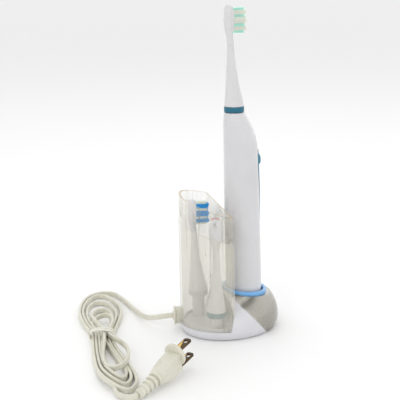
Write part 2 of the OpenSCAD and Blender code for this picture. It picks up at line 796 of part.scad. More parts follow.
// Tufts of a brush head; set 0 has the top and bottom rows and every third row, set 1 the rest
module tufts(set) {
    rows = 8;
    pitch = 2.3;
    face_x = -1.25;
    for (i = [0:rows - 1]) {
        offset_z = (i - (rows - 1)/2)*pitch;
        half = field_w/2*sqrt(1 - pow(offset_z/(rows*pitch/2 + 1.2), 2));
        across = max(2, floor(2*half/2.1) + 1);
        mine = (i%3 == 0 || i == rows - 1) ? 0 : 1;
        wave = i%2 == 0 ? 0 : 0.9;
        if (mine == set) for (j = [0:across - 1]) {
            y = across > 1 ? -half + 2*half*j/(across - 1) : 0;
            translate([face_x, y*0.86, head_l - 10.6 + offset_z]) rotate([0, 90, 0])
                cylinder(r = 0.82, h = bristle_l - 0.9 + wave, $fn = 8);
        }
    }
}

// Places a brush head: on the drive shaft, or on a peg
module on_shaft() {
    translate([neck_x, 0, handle_top + 0.4]) children();
}

module on_peg_a() {
    translate([spare_a[0], spare_a[1], head_foot_z]) rotate([0, 0, spare_a_turn]) children();
}

module on_peg_b() {
    translate([spare_b[0], spare_b[1], head_foot_z + spare_b_lift]) rotate([0, 0, spare_b_turn]) children();
}

module head_stem() {
    color("white") on_shaft() stem(shaft_r + run_gap, shaft_up + 0.6);
}

module head_ring() {
    color([0.12, 0.45, 0.58]) on_shaft() colour_ring();
}

module head_bristles_mint() {
    color([0.55, 0.92, 0.8]) on_shaft() tufts(0);
}

module head_bristles_white() {
    color("white") on_shaft() tufts(1);
}

module spare_a_stem() {
    color("white") on_peg_a() stem(peg_r + peg_gap, peg_h + 0.4);
}

module spare_a_ring() {
    color([0.3, 0.6, 0.66]) on_peg_a() colour_ring();
}

module spare_a_bristles_red() {
    color("crimson") on_peg_a() tufts(0);
}

module spare_a_bristles_white() {
    color("white") on_peg_a() tufts(1);
}

module spare_b_stem() {
    color("white") on_peg_b() stem(peg_r + peg_gap, peg_h + 0.4);
}

module spare_b_ring() {
    color([0.85, 0.87, 0.88]) on_peg_b() colour_ring();
}

module spare_b_bristles_blue() {
    color("royalblue") on_peg_b() tufts(1);
}

module spare_b_bristles_white() {
    color("white") on_peg_b() tufts(0);
}

base_shell();
dome_cover();
socket_ring();
socket_cup();
charging_post();
post_core();
primary_coil();
charger_board();
base_floor();
base_screws();
rubber_feet();
head_pegs();
cord_gland();
cord_lead();
cord_hank();
cord_tie();
cord_tail();
plug_body();
plug_blades();
holder_cover();
handle_shell();
grip_panel();
end_cap();
end_cap_seal();
charging_coil();
chassis();
battery_cell();
battery_contacts();
control_board();
button_switch();
motor_case();
motor_coil();
motor_bearings();
shaft_seal();
neck_collar();
power_button();
drive_shaft();
rotor_magnet();
head_stem();
head_ring();
head_bristles_mint();
head_bristles_white();
spare_a_stem();
spare_a_ring();
spare_a_bristles_red();
spare_a_bristles_white();
spare_b_stem();
spare_b_ring();
spare_b_bristles_blue();
spare_b_bristles_white();
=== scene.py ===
# Electric toothbrush standing in its charger, with a clear holder for spare heads and a tied cord.
# Everything is in metres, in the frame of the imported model: +X is the front, +Z is up.
import bpy
import bmesh
import math
import random
from mathutils import Matrix, Vector


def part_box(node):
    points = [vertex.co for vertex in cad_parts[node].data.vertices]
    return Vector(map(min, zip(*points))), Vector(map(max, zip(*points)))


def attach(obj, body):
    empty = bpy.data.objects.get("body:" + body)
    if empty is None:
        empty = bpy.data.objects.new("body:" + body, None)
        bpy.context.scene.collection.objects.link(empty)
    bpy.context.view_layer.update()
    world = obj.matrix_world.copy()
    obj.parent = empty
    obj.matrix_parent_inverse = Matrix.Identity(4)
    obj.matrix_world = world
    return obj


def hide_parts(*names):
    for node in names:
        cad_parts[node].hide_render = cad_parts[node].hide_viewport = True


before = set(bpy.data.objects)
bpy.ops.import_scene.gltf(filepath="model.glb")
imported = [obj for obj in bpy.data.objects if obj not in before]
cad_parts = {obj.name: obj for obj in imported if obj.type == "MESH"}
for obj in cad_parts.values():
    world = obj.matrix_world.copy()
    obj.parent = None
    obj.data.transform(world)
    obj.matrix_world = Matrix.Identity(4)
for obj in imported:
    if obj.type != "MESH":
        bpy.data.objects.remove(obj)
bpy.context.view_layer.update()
mm = 0.001
print("frame loaded:", len(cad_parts), "nodes")

cameraSet = {
    "place": (-0.2287, -0.6258, 0.280),
    "heading": 18.13,      # degrees from +Y towards +X
    "down": 14.3,          # degrees below the horizon
    "roll": -1.0,
    "lens": 75.8,
}


def makeCamera(spec):
    data = bpy.data.cameras.new("camera")
    data.lens = spec["lens"]
    data.sensor_width = 36
    camera = bpy.data.objects.new("camera", data)
    bpy.context.scene.collection.objects.link(camera)
    turn = Matrix.Rotation(math.radians(-spec["heading"]), 4, "Z")
    tip = Matrix.Rotation(math.radians(90 - spec["down"]), 4, "X")
    roll = Matrix.Rotation(math.radians(spec["roll"]), 4, "Z")
    camera.matrix_world = Matrix.Translation(spec["place"]) @ turn @ tip @ roll
    bpy.context.scene.camera = camera


lightSet = {
    "world": 1.24, "ceiling": 0.28,        # brightness all round, and straight above
    "ceilingFrom": 0.68, "ceilingTo": 0.90,
    # name: (place, size, power, colour)
    "lamps": {
        "keyLamp": ((-0.9, -1.1, 1.3), 1.1, 3.6, (1.0, 0.99, 0.97)),
        "topLamp": ((0.2, 0.3, 1.6), 1.4, 6.0, (1.0, 1.0, 1.0)),
    },
}


def makeLight(spec):
    world = bpy.data.worlds.new("studio")
    world.use_nodes = True
    tree = world.node_tree
    split = tree.nodes.new("ShaderNodeSeparateXYZ")
    tree.links.new(tree.nodes.new("ShaderNodeTexCoord").outputs["Generated"], split.inputs[0])
    fade = tree.nodes.new("ShaderNodeMapRange")
    fade.interpolation_type = "SMOOTHSTEP"
    tree.links.new(split.outputs["Z"], fade.inputs["Value"])
    for label, value in (("From Min", spec["ceilingFrom"]), ("From Max", spec["ceilingTo"]),
                         ("To Min", spec["world"]), ("To Max", spec["ceiling"])):
        fade.inputs[label].default_value = value
    tree.links.new(fade.outputs["Result"], tree.nodes["Background"].inputs["Strength"])
    tree.nodes["Background"].inputs["Color"].default_value = (1, 1, 1, 1)
    bpy.context.scene.world = world
    for name, (place, size, power, colour) in spec["lamps"].items():
        data = bpy.data.lights.new(name, "AREA")
        data.shape = "DISK"
        data.size = size
        data.energy = power
        data.color = colour
        lamp = bpy.data.objects.new(name, data)
        bpy.context.scene.collection.objects.link(lamp)
        lamp.location = place
        lamp.rotation_mode = "QUATERNION"
        lamp.rotation_quaternion = (Vector(place) - Vector((0, 0, 0.08))).to_track_quat("Z", "Y")


makeCamera(cameraSet)
makeLight(lightSet)
bpy.context.scene.view_settings.view_transform = "Standard"
print("camera and light placed")


# shared effects, each a node group built once
def newGroup(name, inputs, outputs):
    group = bpy.data.node_groups.new(name, "ShaderNodeTree")
    for label, kind, value in inputs:
        group.interface.new_socket(label, in_out="INPUT", socket_type="NodeSocket" + kind).default_value = value
    for label, kind in outputs:
        group.interface.new_socket(label, in_out="OUTPUT", socket_type="NodeSocket" + kind)
    return group, group.nodes.new("NodeGroupInput"), group.nodes.new("NodeGroupOutput")


def objectNoise(tree, scale, detail, stretch=(1, 1, 1)):
    # noise on the piece's own coordinates; scale is a number or a socket
    spot = tree.nodes.new("ShaderNodeTexCoord")
    shift = tree.nodes.new("ShaderNodeMapping")
    shift.inputs["Scale"].default_value = stretch
    noise = tree.nodes.new("ShaderNodeTexNoise")
    noise.inputs["Detail"].default_value = detail
    tree.links.new(spot.outputs["Object"], shift.inputs["Vector"])
    tree.links.new(shift.outputs["Vector"], noise.inputs["Vector"])
    if isinstance(scale, (int, float)):
        noise.inputs["Scale"].default_value = scale
    else:
        tree.links.new(scale, noise.inputs["Scale"])
    return noise.outputs["Fac"]


def mathNode(tree, kind, a, b=None, clamp=False):
    node = tree.nodes.new("ShaderNodeMath")
    node.operation = kind
    node.use_clamp = clamp
    for socket, value in zip(node.inputs, (a, b)):
        if isinstance(value, (int, float)):
            socket.default_value = value
        elif value is not None:
            tree.links.new(value, socket)
    return node.outputs[0]


def rangeNode(tree, value, low, high, outLow=0.0, outHigh=1.0):
    node = tree.nodes.new("ShaderNodeMapRange")
    tree.links.new(value, node.inputs["Value"])
    for label, number in (("From Min", low), ("From Max", high), ("To Min", outLow), ("To Max", outHigh)):
        if isinstance(number, (int, float)):
            node.inputs[label].default_value = number
        else:
            tree.links.new(number, node.inputs[label])
    return node.outputs["Result"]


def mixColour(tree, share, a, b):
    node = tree.nodes.new("ShaderNodeMix")
    node.data_type = "RGBA"
    for socket, value in ((node.inputs["Factor"], share), (node.inputs[6], a), (node.inputs[7], b)):
        if isinstance(value, bpy.types.NodeSocket):
            tree.links.new(value, socket)
        else:
            socket.default_value = value
    return node.outputs[2]


def buildMouldedSkin():
    # moulded plastic or metal: faint clouding of colour and gloss, and a fine surface grain
    group, source, sink = newGroup("mouldedSkin", [
        ("Tone", "Color", (1, 1, 1, 1)), ("Shade", "Color", (1, 1, 1, 1)), ("Clouding", "Float", 0.5),
        ("Roughness", "Float", 0.3), ("Spread", "Float", 0.06), ("Grain Scale", "Float", 2500.0),
        ("Grain", "Float", 0.3)], [("Color", "Color"), ("Roughness", "Float"), ("Height", "Float")])
    cloud = objectNoise(group, 45.0, 4.0)
    share = mathNode(group, "MULTIPLY", rangeNode(group, cloud, 0.35, 0.7), source.outputs["Clouding"], True)
    group.links.new(mixColour(group, share, source.outputs["Tone"], source.outputs["Shade"]), sink.inputs["Color"])
    sheen = rangeNode(group, objectNoise(group, 120.0, 3.0), 0.3, 0.7, -0.5, 0.5)
    rough = mathNode(group, "MULTIPLY_ADD", sheen, source.outputs["Spread"])
    group.links.new(source.outputs["Roughness"], rough.node.inputs[2])
    group.links.new(rough, sink.inputs["Roughness"])
    grain = objectNoise(group, source.outputs["Grain Scale"], 2.0)
    group.links.new(mathNode(group, "MULTIPLY", grain, source.outputs["Grain"]), sink.inputs["Height"])
    return group


def buildDryMarks():
    # dried runs of water and toothpaste, drawn out downwards
    group, source, sink = newGroup("dryMarks", [("Amount", "Float", 0.3), ("Scale", "Float", 160.0)],
                                   [("Mask", "Float")])
    runs = objectNoise(group, source.outputs["Scale"], 5.0, (1, 1, 0.16))
    spots = objectNoise(group, 520.0, 3.0)
    mask = mathNode(group, "ADD", rangeNode(group, runs, 0.56, 0.72), rangeNode(group, spots, 0.68, 0.78), True)
    group.links.new(mathNode(group, "MULTIPLY", mask, source.outputs["Amount"]), sink.inputs["Mask"])
    return group


def buildEdgeWear():
    # rubbed outer edges, broken up by noise
    group, source, sink = newGroup("edgeWear", [("Amount", "Float", 0.5), ("Start", "Float", 0.52)],
                                   [("Mask", "Float")])
    shape = group.nodes.new("ShaderNodeNewGeometry").outputs["Pointiness"]
    end = mathNode(group, "ADD", source.outputs["Start"], 0.06)
    edge = rangeNode(group, shape, source.outputs["Start"], end)
    broken = rangeNode(group, objectNoise(group, 700.0, 3.0), 0.35, 0.6, 0.4, 1.0)
    mask = mathNode(group, "MULTIPLY", edge, broken, True)
    group.links.new(mathNode(group, "MULTIPLY", mask, source.outputs["Amount"]), sink.inputs["Mask"])
    return group


def buildSettledDust():
    # dust on faces that look up
    group, source, sink = newGroup("settledDust", [("Amount", "Float", 0.2)], [("Mask", "Float")])
    split = group.nodes.new("ShaderNodeSeparateXYZ")
    group.links.new(group.nodes.new("ShaderNodeNewGeometry").outputs["Normal"], split.inputs[0])
    up = rangeNode(group, split.outputs["Z"], 0.55, 1.0)
    patches = rangeNode(group, objectNoise(group, 210.0, 6.0), 0.42, 0.66)
    mask = mathNode(group, "MULTIPLY", up, patches, True)
    group.links.new(mathNode(group, "MULTIPLY", mask, source.outputs["Amount"]), sink.inputs["Mask"])
    return group


def buildBandPattern():
    # even bands across one axis of the piece, for windings and printed stripes
    group, source, sink = newGroup("bandPattern", [("Scale", "Float", 1200.0), ("Softness", "Float", 0.3)],
                                   [("Mask", "Float")])
    split = group.nodes.new("ShaderNodeSeparateXYZ")
    group.links.new(group.nodes.new("ShaderNodeTexCoord").outputs["Object"], split.inputs[0])
    wave = mathNode(group, "SINE", mathNode(group, "MULTIPLY", split.outputs["Z"], source.outputs["Scale"]))
    low = mathNode(group, "MULTIPLY", source.outputs["Softness"], -1.0)
    group.links.new(rangeNode(group, wave, low, source.outputs["Softness"]), sink.inputs["Mask"])
    return group


effects = {group.name: group for group in (
    buildMouldedSkin(), buildDryMarks(), buildEdgeWear(), buildSettledDust(), buildBandPattern())}


def placeEffect(tree, name, **values):
    node = tree.nodes.new("ShaderNodeGroup")
    node.node_tree = effects[name]
    for label, value in values.items():
        node.inputs[label.replace("_", " ")].default_value = value
    return node


# every finish: tone and shade of the colour, gloss, grain, and what has worn or settled on it
finishSet = {
    "whiteShell": {"tone": (0.63, 0.63, 0.66), "shade": (0.59, 0.585, 0.61), "rough": 0.24, "coat": 0.35,
                   "marks": 0.22, "markTone": (0.72, 0.72, 0.72), "wear": 0.25, "wearTone": (0.8, 0.8, 0.8)},
    "whiteHandle": {"tone": (0.60, 0.60, 0.615), "shade": (0.565, 0.56, 0.575), "rough": 0.22, "coat": 0.4,
                    "marks": 0.16, "markTone": (0.7, 0.7, 0.69)},
    "whiteStem": {"tone": (0.62, 0.615, 0.625), "shade": (0.58, 0.575, 0.58), "rough": 0.3, "coat": 0.2,
                  "marks": 0.1, "markTone": (0.75, 0.75, 0.74)},
    "spareStem": {"tone": (0.68, 0.68, 0.70), "shade": (0.63, 0.63, 0.64), "rough": 0.34},
    "silverDome": {"tone": (0.385, 0.375, 0.335), "shade": (0.32, 0.31, 0.27), "rough": 0.27, "metal": 0.92,
                   "coat": 0.25, "grain": 0.05, "grainScale": 5200.0, "wear": 0.5, "wearTone": (0.82, 0.81, 0.79),
                   "marks": 0.03, "markTone": (0.6, 0.59, 0.56)},
    "skyRing": {"tone": (0.16, 0.42, 0.78), "shade": (0.13, 0.36, 0.70), "rough": 0.26, "coat": 0.3,
                "marks": 0.16, "markTone": (0.5, 0.66, 0.85)},
    "tealRing": {"tone": (0.003, 0.125, 0.20), "shade": (0.002, 0.10, 0.165), "rough": 0.36, "coat": 0.05},
    "paleTealRing": {"tone": (0.006, 0.15, 0.24), "shade": (0.005, 0.12, 0.19), "rough": 0.32},
    "paleRing": {"tone": (0.5, 0.52, 0.54), "shade": (0.46, 0.48, 0.5), "rough": 0.32},
    "gripTeal": {"tone": (0.05, 0.22, 0.32), "shade": (0.04, 0.18, 0.27), "rough": 0.55, "grain": 0.9,
                 "grainScale": 1700.0, "wear": 0.2, "wearTone": (0.2, 0.4, 0.5)},
    # painted shade: the socket cup is coloured dark navy to stand for the shaded gap round the handle
    "wellPaintedShade": {"tone": (0.10, 0.12, 0.20), "shade": (0.07, 0.085, 0.15), "rough": 0.35},
    "creamVinyl": {"tone": (0.68, 0.665, 0.575), "shade": (0.61, 0.59, 0.49), "rough": 0.42, "grain": 0.35,
                   "marks": 0.3, "markTone": (0.42, 0.395, 0.32)},
    # painted light: the tie's cream is lifted above the cord's to make up for the shade on its band
    "creamTie": {"tone": (0.74, 0.72, 0.63), "shade": (0.66, 0.64, 0.55), "rough": 0.38, "grain": 0.3},
    "bronzeBlade": {"tone": (0.10, 0.065, 0.035), "shade": (0.055, 0.038, 0.024), "rough": 0.32, "metal": 1.0,
                    "grain": 0.25, "grainScale": 3800.0, "wear": 0.9, "wearTone": (0.85, 0.58, 0.22),
                    "wearStart": 0.56},
    "steel": {"tone": (0.52, 0.52, 0.53), "shade": (0.42, 0.42, 0.44), "rough": 0.25, "metal": 1.0,
              "grain": 0.2, "grainScale": 4200.0},
    "caseSteel": {"tone": (0.45, 0.45, 0.46), "shade": (0.36, 0.36, 0.38), "rough": 0.35, "metal": 1.0},
    "footRubber": {"tone": (0.09, 0.09, 0.095), "shade": (0.06, 0.06, 0.062), "rough": 0.8, "grain": 0.8,
                   "dust": 0.3, "dustTone": (0.3, 0.3, 0.29)},
    "sealRubber": {"tone": (0.025, 0.025, 0.027), "shade": (0.018, 0.018, 0.02), "rough": 0.6, "grain": 0.5},
    "innerGrey": {"tone": (0.36, 0.37, 0.38), "shade": (0.30, 0.31, 0.32), "rough": 0.5, "grain": 0.5},
    "ferrite": {"tone": (0.05, 0.048, 0.046), "shade": (0.035, 0.033, 0.032), "rough": 0.7, "grain": 0.9},
    "windings": {"tone": (0.62, 0.24, 0.09), "shade": (0.5, 0.17, 0.06), "rough": 0.3, "metal": 0.85,
                 "bands": 9000.0, "bandTone": (0.22, 0.07, 0.025)},
    "boardGreen": {"tone": (0.02, 0.16, 0.06), "shade": (0.03, 0.22, 0.09), "rough": 0.4, "coat": 0.3,
                   "bands": 2600.0, "bandTone": (0.05, 0.26, 0.12)},
    "cellGreen": {"tone": (0.03, 0.26, 0.13), "shade": (0.025, 0.22, 0.11), "rough": 0.3, "coat": 0.4,
                  "bands": 160.0, "bandTone": (0.42, 0.44, 0.42)},
    "springGold": {"tone": (0.78, 0.56, 0.22), "shade": (0.68, 0.47, 0.17), "rough": 0.28, "metal": 1.0},
    "sinteredBronze": {"tone": (0.46, 0.29, 0.13), "shade": (0.36, 0.22, 0.1), "rough": 0.55, "metal": 0.9,
                       "grain": 0.9, "grainScale": 3000.0},
    "magnet": {"tone": (0.14, 0.14, 0.15), "shade": (0.1, 0.1, 0.11), "rough": 0.5, "metal": 0.6},
    # painted light: the mint and white filament colours are lifted above their own colour to make up for the shade
    # among the filaments
    "mintFilament": {"tone": (0.58, 0.95, 0.84), "shade": (0.46, 0.90, 0.76), "rough": 0.4, "speckle": 2600.0},
    "whiteFilament": {"tone": (0.90, 0.92, 0.84), "shade": (0.80, 0.84, 0.75), "rough": 0.42, "speckle": 2600.0},
    "redFilament": {"tone": (0.78, 0.02, 0.03), "shade": (0.64, 0.015, 0.02), "rough": 0.42, "speckle": 2600.0},
    "blueFilament": {"tone": (0.04, 0.42, 0.86), "shade": (0.03, 0.34, 0.76), "rough": 0.42, "speckle": 2600.0},
}


def newMaterial(name):
    material = bpy.data.materials.new(name)
    material.use_nodes = True
    return material, material.node_tree, material.node_tree.nodes["Principled BSDF"]


def withAlpha(tone):
    return (*tone, 1.0)


def makeFinish(name, spec):
    material, tree, shader = newMaterial(name)
    skin = placeEffect(tree, "mouldedSkin", Tone=withAlpha(spec["tone"]), Shade=withAlpha(spec["shade"]),
                       Clouding=0.7, Roughness=spec["rough"], Spread=spec.get("spread", 0.08),
                       Grain_Scale=spec.get("grainScale", 2500.0), Grain=spec.get("grain", 0.25))
    colour = skin.outputs["Color"]
    if "bands" in spec:
        bands = placeEffect(tree, "bandPattern", Scale=spec["bands"])
        colour = mixColour(tree, bands.outputs["Mask"], colour, withAlpha(spec["bandTone"]))
    if "speckle" in spec:
        # filaments differ a little from each other
        speck = rangeNode(tree, objectNoise(tree, spec["speckle"], 1.0), 0.35, 0.65)
        colour = mixColour(tree, speck, colour, withAlpha(spec["shade"]))
    if "marks" in spec:
        marks = placeEffect(tree, "dryMarks", Amount=spec["marks"])
        colour = mixColour(tree, marks.outputs["Mask"], colour, withAlpha(spec["markTone"]))
    if "wear" in spec:
        wear = placeEffect(tree, "edgeWear", Amount=spec["wear"], Start=spec.get("wearStart", 0.52))
        colour = mixColour(tree, wear.outputs["Mask"], colour, withAlpha(spec["wearTone"]))
    if "dust" in spec:
        dust = placeEffect(tree, "settledDust", Amount=spec["dust"])
        colour = mixColour(tree, dust.outputs["Mask"], colour, withAlpha(spec["dustTone"]))
    tree.links.new(colour, shader.inputs["Base Color"])
    tree.links.new(skin.outputs["Roughness"], shader.inputs["Roughness"])
    bump = tree.nodes.new("ShaderNodeBump")
    bump.inputs["Distance"].default_value = 0.00006
    bump.inputs["Strength"].default_value = 0.5
    tree.links.new(skin.outputs["Height"], bump.inputs["Height"])
    tree.links.new(bump.outputs["Normal"], shader.inputs["Normal"])
    shader.inputs["Metallic"].default_value = spec.get("metal", 0.0)
    shader.inputs["Coat Weight"].default_value = spec.get("coat", 0.0)
    shader.inputs["Coat Roughness"].default_value = 0.12
    return material


finishes = {name: makeFinish(name, spec) for name, spec in finishSet.items()}


print("finishes made:", len(finishes))


# the cord comes first of the pieces
cordSet = {
    "width": 4.6 * mm,
    "thick": 2.5 * mm,
    "length": 1.65,
    "step": 2.2 * mm,
    # from the gland to the top of the hank, as in the part's source
    "lead": [(-45, 10.4, 12), (-50, 11.6, 11.8), (-55, 13.2, 11.2), (-60, 17.5, 9.4), (-63.5, 26, 6.6),
             (-65.5, 38, 4), (-67, 52, 2.8), (-69, 67, 2.4), (-71, 81, 2.4), (-73.5, 94, 2.4), (-77, 102, 2.6)],
    # from the hank to the plug
    "tail": [(-118, -86, 3), (-118, -93, 2.6), (-115.5, -99, 2.6), (-110.5, -102.8, 3), (-105, -102.6, 4)],
    # middle of the tie, and how the hank is turned from the Y axis
    "tie": (-107.5, 6), "turn": -18,
    # one lap of the hank each: across, along and height from the middle of the tie
    "laps": [
        # over the top of the upper loop and down the left side
        [(-11, 102.5, 2.6), (-19, 98, 2.4), (-24.5, 88, 2.4), (-26.5, 72, 2.4), (-25, 51, 2.4), (-17.5, 26, 2.4),
         (-10, 9, 2.4), (-8.1, 0, 2.4)],
        # lower loop, the largest
        [(-6.4, -12, 2.4), (-3, -34, 2.4), (2, -58, 2.8), (8.5, -76, 4.8), (17, -88, 4.9), (25.5, -94, 3.4),
         (31, -91, 2.5), (33.2, -80, 2.4), (30, -64, 2.4), (23, -47, 2.4), (14.5, -25, 2.4), (9.2, -8, 2.4),
         (8.1, 0, 2.4)],
        # up the right side and over
        [(8.4, 14, 2.4), (10.4, 36, 2.4), (10.6, 54, 2.4), (7, 70, 2.4), (0.5, 84, 2.4), (-7, 94.5, 2.4),
         (-14.5, 96, 2.4), (-20.6, 88, 2.4), (-23.6, 73, 2.4), (-22.4, 52, 2.4), (-15.4, 28, 2.4), (-7, 9, 2.4),
         (-5.4, 0, 2.4)],
        # second lower loop
        [(-3.7, -12, 2.4), (-0.4, -33, 2.4), (4.4, -55, 2.8), (10.4, -71, 4.8), (17.6, -81.5, 4.9), (24, -85.5, 3.4),
         (28, -81, 2.5), (28.4, -70, 2.4), (24.5, -57, 2.4), (18, -41, 2.4), (10.6, -22, 2.4), (6.2, -7, 2.4),
         (5.4, 0, 2.4)],
        # second upper loop
        [(5.8, 14, 2.4), (7, 34, 2.4), (6.8, 50, 2.4), (3, 64, 2.4), (-3.5, 75, 2.4), (-10.5, 79, 2.4),
         (-17, 75, 2.4), (-19.6, 63, 2.4), (-17.6, 44, 2.4), (-11, 24, 2.4), (-4.6, 8, 2.4), (-2.7, 0, 2.4)],
        # third lower loop
        [(-1, -12, 2.4), (2.2, -32, 2.4), (6.8, -52, 2.8), (12.4, -66, 4.8), (18, -75, 4.9), (22.4, -77, 3.6),
         (24.8, -71, 2.6), (23.4, -60, 2.4), (19, -49, 2.4), (13, -34, 2.4), (6.8, -17, 2.4), (3.2, -6, 2.4),
         (2.7, 0, 2.4)],
        # third upper loop, climbing onto the others
        [(3, 14, 2.4), (4, 30, 2.4), (4, 43, 2.4), (0.6, 55, 2.4), (-5.5, 61.5, 2.4), (-11.6, 58, 2.6),
         (-14, 47, 3.4), (-11, 33, 5.4), (-5, 18, 6.9), (0, 7, 7.1), (1.4, 0, 7.1)],
        # small loop that lies on the right side
        [(3, -12, 7), (4, -28, 6.4), (5.4, -44, 5.2), (9, -57, 4.9), (16, -63, 5.8), (22.6, -57, 6.8),
         (24.6, -43, 7), (21.6, -28, 7.1), (14.6, -16, 7.1), (7.6, -6, 7.1), (5, 0, 7.1)],
        # small upper loop, back down into the bundle
        [(5.4, 10, 7.1), (6.2, 22, 7), (4.6, 33, 6.6), (-2, 42, 5.6), (-9.4, 38, 4.2), (-11.4, 27, 3),
         (-5, 12, 2.4), (0, 0, 2.4)],
        # down and under the lower loops to the tail
        [(1.2, -14, 2.4), (4, -34, 2.3), (8.4, -54, 1.9), (13, -70, 1.45), (16.4, -81, 1.45)],
    ],
}


def smoothRoute(points, step):
    # a smooth curve through given points, with a point about every step
    route = []
    for i in range(len(points) - 1):
        a, b = points[max(i - 1, 0)], points[i]
        c, d = points[i + 1], points[min(i + 2, len(points) - 1)]
        spans = max(1, round((c - b).length / step))
        for k in range(spans):
            t = k / spans
            route.append(0.5 * (2 * b + (c - a) * t + (2 * a - 5 * b + 4 * c - d) * t * t
                                + (3 * b - a - 3 * c + d) * t * t * t))
    route.append(points[-1])
    return route


def evenRoute(route, step):
    # the same line with its points the same distance apart
    along = [0.0]
    for a, b in zip(route, route[1:]):
        along.append(along[-1] + (b - a).length)
    count = round(along[-1] / step)
    out, i = [], 0
    for k in range(count + 1):
        at = along[-1] * k / count
        while i < len(route) - 2 and along[i + 1] < at:
            i += 1
        share = (at - along[i]) / max(along[i + 1] - along[i], 1e-9)
        out.append(route[i].lerp(route[i + 1], min(max(share, 0), 1)))
    return out, along[-1]


def cordPoints(spec):
    turn = Matrix.Rotation(math.radians(spec["turn"]), 2)
    points = [Vector(p) * mm for p in spec["lead"]]
    for lap in spec["laps"]:
        for across, along, height in lap:
            flat = turn @ Vector((across, along))
            points.append(Vector((spec["tie"][0] + flat.x, spec["tie"][1] + flat.y, height)) * mm)
    return points + [Vector(p) * mm for p in spec["tail"]]


def twinSection(width, thick):
    # outline of a flat two-wire cord: two round wires side by side with a shallow groove between them
    r = thick / 2
    off = width / 2 - r
    out = []
    for k in range(9):
        a = math.radians(-112 + 28 * k)
        out.append((off + r * math.cos(a), r * math.sin(a)))
    for k in range(9):
        a = math.radians(68 + 28 * k)
        out.append((-off + r * math.cos(a), r * math.sin(a)))
    return out


def makeCord(spec):
    route, length = evenRoute(smoothRoute(cordPoints(spec), spec["step"]), spec["step"])
    section = twinSection(spec["width"], spec["thick"])
    r = spec["thick"] / 2
    off = spec["width"] / 2 - r
    n = len(section)
    shape = bmesh.new()
    uvLayer = shape.loops.layers.uv.new("along")
    rings = []
    for i, point in enumerate(route):
        ahead = (route[min(i + 1, len(route) - 1)] - route[max(i - 1, 0)]).normalized()
        side = Vector((0, 0, 1)).cross(ahead).normalized()
        up = ahead.cross(side)
        # on edge where there is room below, leaning over to flat where it lies lower
        lean = math.acos(min(1, max(0, (point.z - r - 0.05 * mm) / off)))
        wide = up * math.cos(lean) + side * math.sin(lean)
        thin = side * math.cos(lean) - up * math.sin(lean)
        rings.append([shape.verts.new(point + wide * u + thin * v) for u, v in section])
    for i in range(len(rings) - 1):
        for j in range(n):
            k = (j + 1) % n
            face = shape.faces.new((rings[i][j], rings[i][k], rings[i + 1][k], rings[i + 1][j]))
            face.smooth = True
            corners = ((j, i), (j + 1, i), (j + 1, i + 1), (j, i + 1))
            for loop, (u, v) in zip(face.loops, corners):
                loop[uvLayer].uv = (u / n, v * spec["step"])
    shape.faces.new(rings[0][::-1])
    shape.faces.new(rings[-1])
    bmesh.ops.recalc_face_normals(shape, faces=shape.faces[:])
    data = bpy.data.meshes.new("cordLine")
    shape.to_mesh(data)
    shape.free()
    cord = bpy.data.objects.new("cordLine", data)
    bpy.context.scene.collection.objects.link(cord)
    return cord, route, length


def makeCordFinish():
    # cream vinyl that follows the cord: soft ripples from the wires, handling dirt in patches
    material, tree, shader = newMaterial("cordVinyl")
    uvMap = tree.nodes.new("ShaderNodeUVMap")
    uvMap.uv_map = "along"
    split = tree.nodes.new("ShaderNodeSeparateXYZ")
    tree.links.new(uvMap.outputs["UV"], split.inputs[0])
    ripple = mathNode(tree, "SINE", mathNode(tree, "MULTIPLY", split.outputs["Y"], 900.0))
    skin = placeEffect(tree, "mouldedSkin", Tone=(0.68, 0.665, 0.57, 1), Shade=(0.61, 0.59, 0.49, 1), Clouding=0.9,
                       Roughness=0.42, Grain=0.4)
    marks = placeEffect(tree, "dryMarks", Amount=0.3, Scale=120.0)
    colour = mixColour(tree, marks.outputs["Mask"], skin.outputs["Color"], (0.40, 0.375, 0.30, 1))
    tree.links.new(colour, shader.inputs["Base Color"])
    tree.links.new(skin.outputs["Roughness"], shader.inputs["Roughness"])
    bump = tree.nodes.new("ShaderNodeBump")
    bump.inputs["Distance"].default_value = 0.00012
    height = mathNode(tree, "MULTIPLY_ADD", ripple, 0.18)
    tree.links.new(skin.outputs["Height"], height.node.inputs[2])
    tree.links.new(height, bump.inputs["Height"])
    tree.links.new(bump.outputs["Normal"], shader.inputs["Normal"])
    return material


cordLine, cordRoute, cordLength = makeCord(cordSet)
cordLine.data.materials.append(makeCordFinish())
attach(cordLine, "charger")
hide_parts("cord_lead", "cord_hank", "cord_tail")
print("cord laid,", round(cordLength, 3), "m long")


def makeFloor():
    bpy.ops.mesh.primitive_plane_add(size=80, location=(0, 0, 0))
    floor = bpy.context.object
    floor.name = "floor"
    material, _, shader = newMaterial("paleFloor")
    shader.inputs["Base Color"].default_value = (0.92, 0.92, 0.92, 1)
    shader.inputs["Roughness"].default_value = 0.6
    floor.data.materials.append(material)


makeFloor()


# modelling helpers
def activate(piece):
    if bpy.context.object and bpy.context.object.mode != "OBJECT":
        bpy.ops.object.mode_set(mode="OBJECT")
    bpy.ops.object.select_all(action="DESELECT")
    piece.select_set(True)
    bpy.context.view_layer.objects.active = piece


def clearSelection():
    bpy.ops.object.select_all(action="DESELECT")
    bpy.context.view_layer.objects.active = None


def applyPlace(piece):
    activate(piece)
    bpy.ops.object.transform_apply(location=True, rotation=True, scale=True)
    return piece


def modify(piece, kind, **values):
    activate(piece)
    modifier = piece.modifiers.new(kind.lower(), kind)
    for key, value in values.items():
        setattr(modifier, key, value)
    bpy.ops.object.modifier_apply(modifier=modifier.name)
    return piece


def subdivide(piece, levels):
    return modify(piece, "SUBSURF", levels=levels, render_levels=levels)


